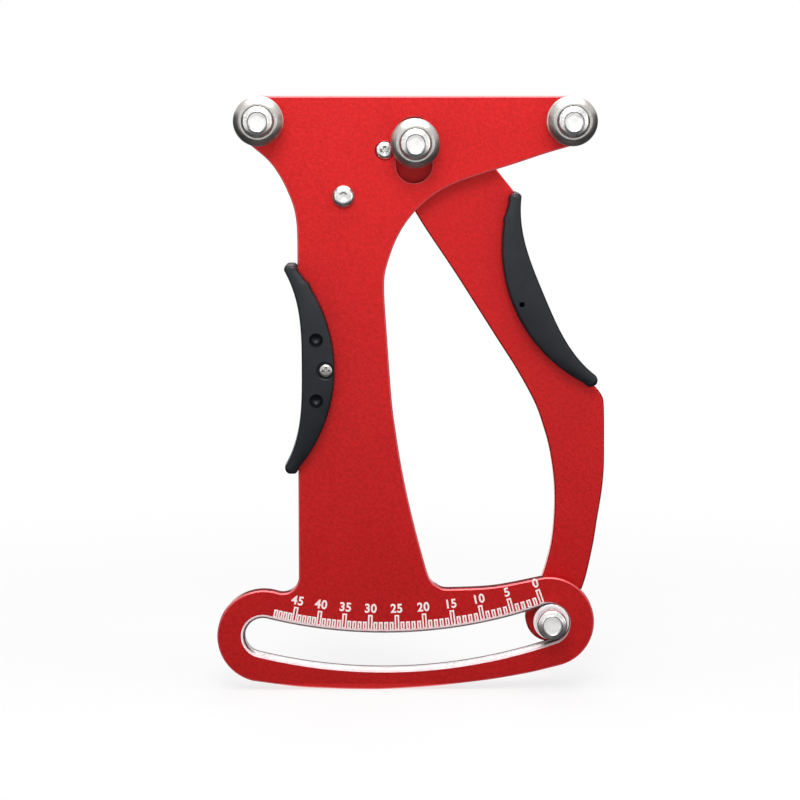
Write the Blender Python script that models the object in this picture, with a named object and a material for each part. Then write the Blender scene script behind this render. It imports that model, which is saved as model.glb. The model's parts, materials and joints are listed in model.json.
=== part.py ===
"""Spoke tension meter: a frame plate with two fixed posts, and a sprung arm with the moving post.

Metres, +Z up, +X to the right, the scale facing -Y. The origin is where a wheel spoke seats,
midway between the two fixed posts, at the bottom of their grooves.
Squeezing the two grips swings the arm about its pivot, lowers the moving post off the spoke
and carries the pointer leftwards along the arc slot, against an extension spring at the back.
"""
import math

import bmesh
import bpy
from mathutils import Matrix, Vector

# Clearance between pieces that touch or run in one another
FIT = 0.0003

# The three posts on which the spoke rests
POST_SPACING = 0.1026
POST_FLANGE_RADIUS = 0.0081
POST_GROOVE_RADIUS = 0.0051
POST_GROOVE_ROUND = 0.0028
POST_BACK_DEPTH = 0.0055
POST_FRONT_DEPTH = 0.0065
POST_RIM_WIDTH = 0.0012
POST_LIP_WIDTH = 0.0006
POST_COUNTERBORE_DEPTH = 0.0034
MOVING_POST_X = 0.0
MOVING_POST_DROP = 0.0072
MOVING_POST_SHANK_RADIUS = 0.0045

# The two plates and the gap in which the arm runs
FRAME_THICKNESS = 0.0050
ARM_THICKNESS = 0.0050
PLATE_GAP = 0.0012
EDGE_CHAMFER = 0.0003
CORNER_RADIUS = 0.0081
STEM_LEFT_X = -0.0389
STEM_SHOULDER_DROP = 0.0400
STEM_WAIST_X = -0.0102
STEM_WAIST_DROP = 0.0545

# The arm's pivot, its travel and the pointer on its arc
PIVOT_X = -0.0100
PIVOT_DROP = 0.0097
PIVOT_BUSH_RADIUS = 0.0040
PIVOT_GAP_WASHER_RADIUS = 0.0052
PIVOT_REAR_WASHER_RADIUS = 0.0070
PIVOT_REAR_WASHER_THICKNESS = 0.0008
POINTER_RADIUS = 0.1675
POINTER_REST_DEG = 19.50
ARM_TRAVEL_DEG = 33.7
ARC_SLOT_OUTSET = 0.0005
ARC_SLOT_WIDTH = 0.0128
ARC_SLOT_CHAMFER = 0.0009
POINTER_BUSH_RADIUS = 0.0054
POINTER_BUSH_PROUD = 0.0005
POINTER_WASHER_RADIUS = 0.0057
POINTER_WASHER_THICKNESS = 0.0008
RIGHT_LOBE_RADIUS = 0.0153
RIGHT_LOBE_RISE = 0.0004
RIGHT_LOBE_LAG_DEG = 0.3
LEFT_LOBE_RADIUS = 0.0157
LEFT_LOBE_FILLET = 0.0054
SCALE_TOP_RISE = 0.0198
SCALE_BOTTOM_DROP = 0.0133
ARM_LOBE_RADIUS = 0.0082
ARM_EYE_RADIUS = 0.0082

# The slot in the frame through which the moving post reaches the arm
POST_SLOT_WIDTH = 0.0120
POST_SLOT_LENGTH = 0.0217
POST_SLOT_CHAMFER = 0.0004
POST_SLOT_X = -0.0003
POST_SLOT_DROP = 0.0096

# Screws: head radius, head height, key size and shank radius
CAP_HEAD_RADIUS = 0.0050
CAP_HEAD_HEIGHT = 0.0060
CAP_DOME_HEIGHT = 0.0012
CAP_FACE_RADIUS = 0.0034
CAP_KEY = 0.0050
CAP_SHANK_RADIUS = 0.0030
BUTTON_HEAD_RADIUS = 0.0039
BUTTON_HEAD_HEIGHT = 0.0022
BUTTON_KEY = 0.0025
BUTTON_SHANK_RADIUS = 0.0020
PIVOT_HEAD_RADIUS = 0.0030
PIVOT_SHANK_RADIUS = 0.0015
GRIP_HEAD_RADIUS = 0.0022
GRIP_HEAD_HEIGHT = 0.0014
GRIP_SHANK_RADIUS = 0.0011
NUT_WIDTH = 0.0055
NUT_HEIGHT = 0.0030
SCREW_END_INSET = 0.0003
SCREW_END_PROUD = 0.0008

# The return spring behind the plates
ANCHOR_X = -0.0236
ANCHOR_DROP = 0.0248
SPRING_REST_LENGTH = 0.0240
SPRING_COIL_RADIUS = 0.0029
SPRING_WIRE_RADIUS = 0.0005
SPRING_TURNS = 11
SPRING_PLANE_BEHIND_ARM = 0.0045
SPRING_HOOK_STEM = 0.0046
SPRING_POST_HEAD_RADIUS = 0.0036
SPRING_POST_HEAD_DEPTH = 0.0012
ARM_TAIL_RADIUS = 0.0045

# The crescent grips, the same moulding on both plates
GRIP_HALF_LENGTH = 0.0350
GRIP_TIP_RADIUS = 0.0021
GRIP_TIP_WIDTH = 0.0049
GRIP_CONVEX_REACH = 0.0150
GRIP_CONCAVE_REACH = 0.0038
GRIP_CONCAVE_SWEEP = 0.0057
GRIP_CONCAVE_POWER = 3.25
GRIP_STAND = 0.0062
GRIP_CROWN = 0.0004
GRIP_EDGE_ROUND = 0.0013
GRIP_WALL = 0.0022
GRIP_SCREW_OUT = 0.0120
GRIP_SCREW_HOLE_RADIUS = 0.0027
GRIP_SCREW_HOLE_DEPTH = 0.0016
GRIP_DIMPLE_RADIUS = 0.0020
GRIP_DIMPLE_DEPTH = 0.0007
GRIP_DIMPLE_SPACING = 0.0203
GRIP_DIMPLE_INSET = 0.0052
GRIP_END_CLEARANCE = 0.0007
LEFT_GRIP_MIDDLE = (-0.0415, -0.0820)
LEFT_GRIP_TILT_DEG = 0.0
RIGHT_GRIP_MIDDLE = (0.0466, -0.0560)
RIGHT_GRIP_TILT_DEG = 22.9

# Facets of the round pieces
ROUND_SEGMENTS = 28
SCREW_SEGMENTS = 24
SMALL_SEGMENTS = 16

# How far a cutter reaches past the faces that it cuts
CUT_PAST = 0.0010

# Levels worked out from the sizes above
POST_LINE_Z = POST_GROOVE_RADIUS
FRAME_FRONT = POST_BACK_DEPTH + FIT
FRAME_BACK = FRAME_FRONT + FRAME_THICKNESS
ARM_FRONT = FRAME_BACK + PLATE_GAP
ARM_BACK = ARM_FRONT + ARM_THICKNESS
SPRING_Y = ARM_BACK + SPRING_PLANE_BEHIND_ARM
FRAME_MIDDLE = FRAME_FRONT + FRAME_THICKNESS / 2
ARM_MIDDLE = ARM_FRONT + ARM_THICKNESS / 2


# Places in the plane of the plates, as (x, z)

def below_posts(x, drop):
    """A place given by its drop below the line of the fixed posts."""
    return Vector((x, POST_LINE_Z - drop))


def polar(centre, radius, degrees_from_down):
    """A place round a centre, its angle counted from straight down towards +X."""
    angle = math.radians(degrees_from_down)
    return centre + radius * Vector((math.sin(angle), -math.cos(angle)))


# The places that the outlines and the pieces share

LEFT_POST = below_posts(-POST_SPACING / 2, 0.0)
RIGHT_POST = below_posts(POST_SPACING / 2, 0.0)
MOVING_POST = below_posts(MOVING_POST_X, MOVING_POST_DROP)
PIVOT = below_posts(PIVOT_X, PIVOT_DROP)
ANCHOR = below_posts(ANCHOR_X, ANCHOR_DROP)
POINTER = polar(PIVOT, POINTER_RADIUS, POINTER_REST_DEG)
ARC_SLOT_RADIUS = POINTER_RADIUS + ARC_SLOT_OUTSET

# The spring's two ends lie at one distance from the pivot, so the spring turns half as fast as the arm
ANCHOR_ARM = (ANCHOR - PIVOT).length
ANCHOR_ANGLE = math.atan2((ANCHOR - PIVOT).y, (ANCHOR - PIVOT).x)
SPRING_OPENING = 2 * math.asin(SPRING_REST_LENGTH / 2 / ANCHOR_ARM)
TAIL_ANGLE = ANCHOR_ANGLE - SPRING_OPENING
TAIL = PIVOT + ANCHOR_ARM * Vector((math.cos(TAIL_ANGLE), math.sin(TAIL_ANGLE)))

# The slot's end centres lie past the pointer's two stops by the play of the bush in the slot
BUSH_PLAY = ARC_SLOT_WIDTH / 2 - POINTER_BUSH_RADIUS - FIT
BUSH_PLAY_DEG = math.degrees(math.sqrt(BUSH_PLAY ** 2 - ARC_SLOT_OUTSET ** 2) / POINTER_RADIUS)
SLOT_RIGHT_DEG = POINTER_REST_DEG - BUSH_PLAY_DEG
SLOT_LEFT_DEG = POINTER_REST_DEG - ARM_TRAVEL_DEG + BUSH_PLAY_DEG

# The grip's bulging edge is an arc through the middle of its width and the corners of its tips
GRIP_TIP_ALONG = GRIP_HALF_LENGTH - GRIP_TIP_RADIUS
GRIP_TIP_REACH = GRIP_CONCAVE_REACH - GRIP_CONCAVE_SWEEP + GRIP_TIP_WIDTH
GRIP_BULGE = GRIP_CONVEX_REACH - GRIP_TIP_REACH
GRIP_CONVEX_RADIUS = (GRIP_TIP_ALONG ** 2 + GRIP_BULGE ** 2) / (2 * GRIP_BULGE)


def arc(centre, radius, start_deg, end_deg, steps):
    """Points of an arc, its angles counted from +X towards +Z."""
    points = []
    for step in range(steps + 1):
        angle = math.radians(start_deg + (end_deg - start_deg) * step / steps)
        points.append(centre + radius * Vector((math.cos(angle), math.sin(angle))))
    return points


def smooth(points, steps=3):
    """A Catmull-Rom curve through the points, with the ends included."""
    ends = [2 * points[0] - points[1]] + points + [2 * points[-1] - points[-2]]
    curve = []
    for index in range(1, len(ends) - 2):
        a, b, c, d = ends[index - 1:index + 3]
        for step in range(steps):
            t = step / steps
            curve.append(
                0.5 * (2 * b + (c - a) * t + (2 * a - 5 * b + 4 * c - d) * t ** 2
                       + (3 * b - a - 3 * c + d) * t ** 3)
            )
    curve.append(points[-1])
    return curve


def swept(start, end, *shares):
    """Points of a free edge from start to end, which are included.

    Each pair gives the share of the way and the share of the distance to the left of the way.
    """
    way = end - start
    left = Vector((-way.y, way.x))
    return [start] + [start + way * along + left * across for along, across in shares] + [end]


# Meshes and objects

def material(name, colour, roughness, metallic):
    made = bpy.data.materials.new(name)
    made.use_nodes = True
    shader = made.node_tree.nodes["Principled BSDF"]
    shader.inputs["Base Color"].default_value = (*colour, 1.0)
    shader.inputs["Roughness"].default_value = roughness
    shader.inputs["Metallic"].default_value = metallic
    return made


FINISHES = {
    "anodised": ((0.55, 0.02, 0.025), 0.42, 0.55),
    "steel": ((0.62, 0.61, 0.59), 0.28, 1.0),
    "dark_steel": ((0.35, 0.35, 0.36), 0.35, 1.0),
    "nylon": ((0.025, 0.028, 0.032), 0.45, 0.0),
    "bronze": ((0.55, 0.38, 0.20), 0.35, 1.0),
}


def add_object(name, data, finish, location=(0, 0, 0), parent=None):
    """Links an object. The location is in world space; a parent only moves, so it is subtracted."""
    made = bpy.data.objects.new(name, data)
    bpy.context.scene.collection.objects.link(made)
    made.location = Vector(location)
    if parent is not None:
        made.parent = parent
        made.location -= parent_place(parent)
    if not data.materials:
        data.materials.append(material(name + "_finish", *FINISHES[finish]))
    return made


def parent_place(parent):
    """The world place of an empty whose own parents only move."""
    place = parent.location.copy()
    while parent.parent is not None:
        parent = parent.parent
        place += parent.location
    return place


def add_axis(name, place, y, parent=None):
    """An empty on a joint's axis, which carries the pieces that move with it."""
    made = bpy.data.objects.new(name, None)
    bpy.context.scene.collection.objects.link(made)
    made.empty_display_size = 0.01
    made.location = Vector((place.x, y, place.y))
    if parent is not None:
        made.parent = parent
        made.location -= parent_place(parent)
    return made


def finish_mesh(name, bm):
    """Turns a bmesh into a mesh whose round sides are smooth and whose edges stay sharp."""
    bmesh.ops.recalc_face_normals(bm, faces=bm.faces)
    mesh = bpy.data.meshes.new(name)
    bm.to_mesh(mesh)
    bm.free()
    mesh.shade_smooth()
    mesh.set_sharp_from_angle(angle=math.radians(32))
    return mesh


def lofted(name, loops):
    """A closed body through loops of equal length, with a flat cap at each end."""
    bm = bmesh.new()
    rings = [[bm.verts.new(point) for point in loop] for loop in loops]
    count = len(rings[0])
    for ring, following in zip(rings, rings[1:]):
        for index in range(count):
            after = (index + 1) % count
            bm.faces.new((ring[index], ring[after], following[after], following[index]))
    bm.faces.new(rings[0])
    bm.faces.new(rings[-1])
    return finish_mesh(name, bm)


def turned(name, profile, segments=ROUND_SEGMENTS):
    """A ring turned about the Y axis from a closed profile of (radius, y) pairs."""
    bm = bmesh.new()
    start = [bm.verts.new((radius, y, 0)) for radius, y in profile]
    edges = [bm.edges.new((start[i], start[(i + 1) % len(start)])) for i in range(len(start))]
    bmesh.ops.spin(
        bm, geom=start + edges, cent=(0, 0, 0), axis=(0, 1, 0),
        angle=2 * math.pi, steps=segments, use_merge=True,
    )
    bmesh.ops.remove_doubles(bm, verts=bm.verts, dist=0.000001)
    return finish_mesh(name, bm)


def circle_loop(radius, y, segments=SCREW_SEGMENTS):
    step = 2 * math.pi / segments
    return [Vector((radius * math.cos(i * step), y, radius * math.sin(i * step))) for i in range(segments)]


def hexagon_loop(across_flats, y, segments=SCREW_SEGMENTS):
    """A hexagon with as many points as the circles it is lofted to."""
    loop = []
    for index in range(segments):
        angle = 2 * math.pi * index / segments
        from_flat = (angle + math.pi / 6) % (math.pi / 3) - math.pi / 6
        radius = across_flats / 2 / math.cos(from_flat)
        loop.append(Vector((radius * math.cos(angle), y, radius * math.sin(angle))))
    return loop


def shift_in_plane(offset):
    """A move along X and Z, which brings a mesh to its object's own origin."""
    return Matrix.Translation((offset.x, 0, offset.y))


def plate(name, outline, front, back):
    """A plate of the given outline with both faces inset to make its chamfered edges."""
    bm = bmesh.new()
    face = bm.faces.new([bm.verts.new((p.x, front, p.y)) for p in outline])
    moved = bmesh.ops.extrude_face_region(bm, geom=[face])["geom"]
    top = [item for item in moved if isinstance(item, bmesh.types.BMFace)]
    bmesh.ops.translate(
        bm, verts=[item for item in moved if isinstance(item, bmesh.types.BMVert)],
        vec=(0, back - front, 0),
    )
    bmesh.ops.recalc_face_normals(bm, faces=bm.faces)
    for faces, inwards in (([face], EDGE_CHAMFER), (top, -EDGE_CHAMFER)):
        for vert in faces[0].verts:
            vert.co.y += inwards
        bmesh.ops.inset_region(
            bm, faces=faces, thickness=EDGE_CHAMFER, depth=EDGE_CHAMFER, use_even_offset=True,
        )
    return finish_mesh(name, bm)


def place_cutter(owner, mesh, location=(0, 0, 0)):
    """Adds a Boolean difference and keeps its cutter in the scene as a wire guide."""
    cutter = bpy.data.objects.new(mesh.name, mesh)
    bpy.context.scene.collection.objects.link(cutter)
    cutter.location = Vector(location)
    cutter.hide_render = True
    cutter.display_type = "WIRE"
    cut = owner.modifiers.new(mesh.name, "BOOLEAN")
    cut.operation = "DIFFERENCE"
    cut.solver = "EXACT"
    cut.object = cutter


def hole_mesh(name, outline_at, front, back, chamfer=0.0):
    """A cutter through a plate whose outline widens at the front face to leave a chamfer."""
    loops = []
    levels = [(front - CUT_PAST, chamfer + CUT_PAST if chamfer else 0.0), (back + CUT_PAST, 0.0)]
    if chamfer:
        levels.insert(1, (front + chamfer, 0.0))
    for y, offset in levels:
        loops.append([Vector((p.x, y, p.y)) for p in outline_at(offset)])
    return lofted(name, loops)


def round_hole(owner, name, place, radius, front, back, chamfer=0.0):
    def outline_at(offset):
        return arc(place, radius + offset, 0, 360 - 360 / SCREW_SEGMENTS, SCREW_SEGMENTS - 1)
    place_cutter(owner, hole_mesh(name, outline_at, front, back, chamfer))


def post_slot_outline(offset):
    """The upright slot for the moving post's shank."""
    middle = below_posts(POST_SLOT_X, POST_SLOT_DROP)
    straight = Vector((0, (POST_SLOT_LENGTH - POST_SLOT_WIDTH) / 2))
    radius = POST_SLOT_WIDTH / 2 + offset
    return arc(middle + straight, radius, 0, 180, 12) + arc(middle - straight, radius, 180, 360, 12)


def arc_slot_outline(offset):
    """The long slot along which the pointer runs, concentric with the pivot."""
    half = ARC_SLOT_WIDTH / 2 + offset
    right = polar(PIVOT, ARC_SLOT_RADIUS, SLOT_RIGHT_DEG)
    left = polar(PIVOT, ARC_SLOT_RADIUS, SLOT_LEFT_DEG)
    outer = arc(PIVOT, ARC_SLOT_RADIUS + half, SLOT_RIGHT_DEG - 90, SLOT_LEFT_DEG - 90, 22)
    inner = arc(PIVOT, ARC_SLOT_RADIUS - half, SLOT_LEFT_DEG - 90, SLOT_RIGHT_DEG - 90, 22)
    left_end = arc(left, half, SLOT_LEFT_DEG - 90, SLOT_LEFT_DEG - 270, 10)
    right_end = arc(right, half, SLOT_RIGHT_DEG + 90, SLOT_RIGHT_DEG - 90, 10)
    return outer[:-1] + left_end[:-1] + inner[:-1] + right_end[:-1]


# Shape of the crescent grips, along its length and across it

def concave_edge(along):
    """How far the hollow edge lies from the chord between the grip's tips."""
    return GRIP_CONCAVE_REACH - GRIP_CONCAVE_SWEEP * abs(along / GRIP_TIP_ALONG) ** GRIP_CONCAVE_POWER


def convex_edge(along):
    """How far the bulging edge lies from the same chord."""
    fall = GRIP_CONVEX_RADIUS - math.sqrt(GRIP_CONVEX_RADIUS ** 2 - along ** 2)
    return GRIP_CONVEX_REACH - fall


def grip_place(middle, tilt_deg, bulge_side, along, across):
    """A grip's own (along, across) place in the plane of the plates."""
    tilt = math.radians(tilt_deg)
    down = Vector((math.sin(tilt), -math.cos(tilt)))
    outwards = Vector((math.cos(tilt), math.sin(tilt))) * bulge_side
    return below_posts(middle[0], -middle[1]) + along * down + across * outwards


def notch_line(reach):
    """The line of a plate's cut-back edge under a grip, closer stepped towards the tips."""
    steps = 24
    line = []
    for index in range(steps + 1):
        along = reach * math.sin(math.pi * (index / steps - 0.5))
        line.append((along, concave_edge(along) + GRIP_WALL))
    return line


def grip_notch(owner, name, grip, front, back):
    """Cuts the plate back under a grip, so that the two halves meet round its edge."""
    outside = -GRIP_CONVEX_REACH
    line = notch_line(GRIP_HALF_LENGTH + CUT_PAST)
    outline = [grip_place(*grip, along, across) for along, across in line]
    outline += [grip_place(*grip, along, outside) for along, across in reversed(line)]
    place_cutter(owner, hole_mesh(name, lambda offset: outline, front, back))


LEFT_GRIP = (LEFT_GRIP_MIDDLE, LEFT_GRIP_TILT_DEG, 1)
RIGHT_GRIP = (RIGHT_GRIP_MIDDLE, RIGHT_GRIP_TILT_DEG, -1)


# The frame and what it carries

def frame_outline():
    """Clockwise from the left post: head, underside, stem, scale and back up the stem."""
    right_lobe = polar(PIVOT, ARC_SLOT_RADIUS - RIGHT_LOBE_RISE, POINTER_REST_DEG - RIGHT_LOBE_LAG_DEG)
    left_lobe = polar(PIVOT, ARC_SLOT_RADIUS, SLOT_LEFT_DEG)
    head = arc(LEFT_POST, CORNER_RADIUS, 238, 90, 10) + arc(RIGHT_POST, CORNER_RADIUS, 90, -68, 10)
    waist = below_posts(STEM_WAIST_X, STEM_WAIST_DROP)
    underside = swept(
        head[-1], waist,
        (0.128, -0.047), (0.277, -0.095), (0.408, -0.140), (0.491, -0.166), (0.557, -0.180), (0.605, -0.184),
        (0.658, -0.183), (0.714, -0.175), (0.783, -0.155), (0.848, -0.125), (0.907, -0.087), (0.962, -0.044),
    )
    scale_top = []
    for degrees, share in ((7.7, 1.0), (9.6, 0.962), (11.9, 0.914), (14.2, 0.869), (16.5, 0.838)):
        scale_top.append(polar(PIVOT, ARC_SLOT_RADIUS - SCALE_TOP_RISE * share, degrees))
    stem = swept(
        waist, scale_top[0],
        (0.057, -0.009), (0.158, -0.022), (0.364, -0.047), (0.468, -0.054), (0.572, -0.058), (0.679, -0.058),
        (0.786, -0.054), (0.894, -0.047), (0.948, -0.042), (0.970, -0.034), (0.985, -0.021),
    )
    right_end = arc(right_lobe, RIGHT_LOBE_RADIUS, 104, -78, 18)
    inner_side = smooth(underside[:-1] + stem + scale_top[1:] + right_end[:1])
    bottom = []
    for degrees, share in (
        (16.0, 1.076), (14.0, 1.044), (11.5, 1.011), (8.5, 0.976), (5.0, 0.966), (0.0, 0.985),
        (-3.5, 1.008), (-5.6, 1.03), (-9.4, 1.10),
    ):
        bottom.append(polar(PIVOT, ARC_SLOT_RADIUS + SCALE_BOTTOM_DROP * share, degrees))
    fillet_x = STEM_LEFT_X - LEFT_LOBE_FILLET
    reach = LEFT_LOBE_RADIUS + LEFT_LOBE_FILLET
    lean = math.degrees(math.acos((fillet_x - left_lobe.x) / reach))
    fillet = left_lobe + reach * Vector((math.cos(math.radians(lean)), math.sin(math.radians(lean))))
    left_end = arc(left_lobe, LEFT_LOBE_RADIUS, -104, lean - 360, 18)
    lower_side = smooth(right_end[-1:] + bottom + left_end[:1])
    stem_foot = arc(fillet, LEFT_LOBE_FILLET, lean - 180, 0, 7)
    shoulder = swept(
        below_posts(STEM_LEFT_X, STEM_SHOULDER_DROP), head[0],
        (0.148, -0.068), (0.287, -0.111), (0.437, -0.128), (0.596, -0.128), (0.770, -0.098),
    )
    points = head[:-1] + inner_side[:-1] + right_end[:-1] + lower_side[:-1]
    return points + left_end + stem_foot[1:] + smooth(shoulder)[:-1]


def build_frame_plate():
    mesh = plate("frame_plate", frame_outline(), FRAME_FRONT, FRAME_BACK)
    frame = add_object("frame_plate", mesh, "anodised")
    faces = (FRAME_FRONT, FRAME_BACK)
    place_cutter(frame, hole_mesh("arc_slot_cutter", arc_slot_outline, *faces, ARC_SLOT_CHAMFER))
    place_cutter(frame, hole_mesh("post_slot_cutter", post_slot_outline, *faces, POST_SLOT_CHAMFER))
    for side, post in (("left", LEFT_POST), ("right", RIGHT_POST)):
        round_hole(frame, f"{side}_post_hole_cutter", post, CAP_SHANK_RADIUS + FIT, *faces)
    round_hole(frame, "anchor_hole_cutter", ANCHOR, BUTTON_SHANK_RADIUS + FIT, *faces)
    grip_hole = grip_place(*LEFT_GRIP, 0, GRIP_SCREW_OUT)
    round_hole(frame, "left_grip_hole_cutter", grip_hole, GRIP_SHANK_RADIUS + FIT, *faces)
    countersink = PIVOT_HEAD_RADIUS - PIVOT_SHANK_RADIUS
    round_hole(frame, "pivot_hole_cutter", PIVOT, PIVOT_SHANK_RADIUS + FIT, *faces, countersink)
    grip_notch(frame, "left_notch_cutter", LEFT_GRIP, *faces)


def post_profile():
    """Groove, rims, front cone and counterbore of a post, from back to front, about its groove."""
    rim = POST_GROOVE_ROUND + POST_RIM_WIDTH / 3
    groove = []
    steps = 6
    for step in range(steps + 1):
        angle = math.radians(75 - 150 * step / steps)
        radius = POST_GROOVE_RADIUS + POST_GROOVE_ROUND * (1 - math.cos(angle))
        groove.append((radius, POST_GROOVE_ROUND * math.sin(angle)))
    counterbore = CAP_HEAD_RADIUS + FIT
    bore = CAP_SHANK_RADIUS + FIT
    floor = POST_COUNTERBORE_DEPTH - POST_FRONT_DEPTH
    front = [
        (POST_FLANGE_RADIUS, -rim),
        (POST_FLANGE_RADIUS, -rim - POST_RIM_WIDTH),
        (counterbore + POST_LIP_WIDTH, -POST_FRONT_DEPTH),
        (counterbore, -POST_FRONT_DEPTH),
        (counterbore, floor),
        (bore, floor),
    ]
    return [(POST_FLANGE_RADIUS, rim)] + groove + front


def build_fixed_posts():
    back = [
        (CAP_SHANK_RADIUS + FIT, POST_BACK_DEPTH),
        (POST_FLANGE_RADIUS - POST_LIP_WIDTH, POST_BACK_DEPTH),
        (POST_FLANGE_RADIUS, POST_BACK_DEPTH - POST_LIP_WIDTH),
    ]
    mesh = turned("fixed_post", post_profile() + back)
    screw_length = POST_FRONT_DEPTH - POST_COUNTERBORE_DEPTH + FRAME_BACK - SCREW_END_INSET
    screw = cap_screw("fixed_post_screw", screw_length)
    for side, post in (("left", LEFT_POST), ("right", RIGHT_POST)):
        add_object(f"fixed_post_{side}", mesh, "steel", (post.x, 0, post.y))
        seat = POST_COUNTERBORE_DEPTH - POST_FRONT_DEPTH - FIT
        add_object(f"fixed_post_{side}_screw", screw, "steel", (post.x, seat, post.y))


def cap_screw(name, length):
    """A socket cap screw along +Y, its head's bearing face at y = 0."""
    top = -CAP_HEAD_HEIGHT
    loops = [
        circle_loop(CAP_SHANK_RADIUS * 0.8, length),
        circle_loop(CAP_SHANK_RADIUS, length - CAP_SHANK_RADIUS * 0.2),
        circle_loop(CAP_SHANK_RADIUS, 0),
        circle_loop(CAP_HEAD_RADIUS, 0),
        circle_loop(CAP_HEAD_RADIUS, top + CAP_DOME_HEIGHT),
        circle_loop(CAP_FACE_RADIUS, top),
        hexagon_loop(CAP_KEY, top),
        hexagon_loop(CAP_KEY, top + CAP_HEAD_HEIGHT / 2),
    ]
    return lofted(name, loops)


def build_spring_anchor():
    """The anchor is a grooved pillar behind the frame, held by a button screw from the front."""
    head = BUTTON_HEAD_RADIUS
    height = BUTTON_HEAD_HEIGHT
    length = FRAME_THICKNESS + SPRING_PLANE_BEHIND_ARM
    loops = [
        circle_loop(BUTTON_SHANK_RADIUS, length),
        circle_loop(BUTTON_SHANK_RADIUS, 0),
        circle_loop(head, 0),
        circle_loop(head, -height * 0.15),
        circle_loop(head * 0.92, -height * 0.55),
        circle_loop(head * 0.76, -height * 0.88),
        circle_loop(head * 0.60, -height),
        hexagon_loop(BUTTON_KEY, -height),
        hexagon_loop(BUTTON_KEY, -height * 0.35),
    ]
    screw = lofted("spring_anchor_screw", loops)
    add_object("spring_anchor_screw", screw, "steel", (ANCHOR.x, FRAME_FRONT - FIT, ANCHOR.y))
    bore = BUTTON_SHANK_RADIUS + FIT
    profile = spring_post_profile(FRAME_BACK + FIT)
    bored = [(bore, profile[0][1])] + profile[1:-1] + [(bore, profile[-1][1])]
    post = turned("spring_anchor_post", bored, SCREW_SEGMENTS)
    add_object("spring_anchor_post", post, "dark_steel", (ANCHOR.x, 0, ANCHOR.y))


def spring_post_profile(start):
    """A pillar from the start level to past the spring's plane, necked where the hook sits."""
    neck = SPRING_COIL_RADIUS - SPRING_WIRE_RADIUS - FIT
    half = SPRING_WIRE_RADIUS + FIT
    head_end = SPRING_Y + half + SPRING_POST_HEAD_DEPTH
    return [
        (0, start),
        (SPRING_POST_HEAD_RADIUS, start),
        (SPRING_POST_HEAD_RADIUS, SPRING_Y - half),
        (neck, SPRING_Y - half),
        (neck, SPRING_Y + half),
        (SPRING_POST_HEAD_RADIUS, SPRING_Y + half),
        (SPRING_POST_HEAD_RADIUS, head_end),
        (0, head_end),
    ]


# The arm and what it carries

def arm_outline():
    """Clockwise from the tail that holds the spring: top, grip side, pointer lobe, inner side."""
    tail = arc(TAIL, ARM_TAIL_RADIUS, 235, 70, 8)
    grip_end = GRIP_HALF_LENGTH + GRIP_END_CLEARANCE
    top = swept(
        tail[-1], grip_place(*RIGHT_GRIP, -grip_end, 0),
        (0.136, 0.033), (0.257, 0.103), (0.382, 0.177), (0.521, 0.207), (0.676, 0.171), (0.889, 0.058),
    )
    lobe = arc(POINTER, ARM_LOBE_RADIUS, 10, -190, 14)
    side = swept(
        grip_place(*RIGHT_GRIP, grip_end, 0), lobe[0],
        (0.012, 0.014), (0.036, 0.034), (0.063, 0.044), (0.124, 0.052), (0.229, 0.062), (0.333, 0.071),
        (0.404, 0.073), (0.474, 0.071), (0.581, 0.063), (0.688, 0.056), (0.831, 0.038), (0.915, 0.018),
    )
    eye = arc(PIVOT, ARM_EYE_RADIUS, -60, -140, 4)
    inner = swept(
        lobe[-1], eye[0],
        (0.034, -0.027), (0.064, -0.053), (0.127, -0.092), (0.193, -0.119), (0.261, -0.138), (0.331, -0.148),
        (0.386, -0.149), (0.441, -0.145), (0.519, -0.128), (0.598, -0.105), (0.756, -0.059), (0.903, -0.014),
    )
    points = tail[:-1] + smooth(top, 2) + smooth(side, 2)[:-1] + lobe[:-1]
    return points + smooth(inner, 2)[:-1] + smooth(eye + tail[:1], 2)[:-1]


def build_arm_plate(axis):
    mesh = plate("arm_plate", arm_outline(), ARM_FRONT, ARM_BACK)
    mesh.transform(shift_in_plane(-PIVOT))
    arm = add_object("arm_plate", mesh, "anodised", (PIVOT.x, 0, PIVOT.y), axis)
    faces = (ARM_FRONT, ARM_BACK)
    round_hole(arm, "arm_pivot_cutter", PIVOT, PIVOT_BUSH_RADIUS + FIT, *faces)
    round_hole(arm, "arm_post_cutter", MOVING_POST, CAP_SHANK_RADIUS + FIT, *faces)
    round_hole(arm, "arm_pointer_cutter", POINTER, CAP_SHANK_RADIUS + FIT, *faces)
    round_hole(arm, "arm_tail_cutter", TAIL, BUTTON_SHANK_RADIUS + FIT, *faces)
    grip_hole = grip_place(*RIGHT_GRIP, 0, GRIP_SCREW_OUT)
    round_hole(arm, "right_grip_hole_cutter", grip_hole, GRIP_SHANK_RADIUS + FIT, *faces)
    grip_notch(arm, "right_notch_cutter", RIGHT_GRIP, *faces)


def build_moving_post(axis):
    shank_end = ARM_FRONT - FIT
    back = [
        (CAP_SHANK_RADIUS + FIT, shank_end),
        (MOVING_POST_SHANK_RADIUS, shank_end),
        (MOVING_POST_SHANK_RADIUS, POST_BACK_DEPTH),
        (POST_FLANGE_RADIUS - POST_LIP_WIDTH, POST_BACK_DEPTH),
        (POST_FLANGE_RADIUS, POST_BACK_DEPTH - POST_LIP_WIDTH),
    ]
    mesh = turned("moving_post", post_profile() + back)
    add_object("moving_post", mesh, "steel", (MOVING_POST.x, 0, MOVING_POST.y), axis)
    seat = POST_COUNTERBORE_DEPTH - POST_FRONT_DEPTH - FIT
    screw = cap_screw("moving_post_screw", ARM_BACK - SCREW_END_INSET - seat)
    add_object("moving_post_screw", screw, "steel", (MOVING_POST.x, seat, MOVING_POST.y), axis)


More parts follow.
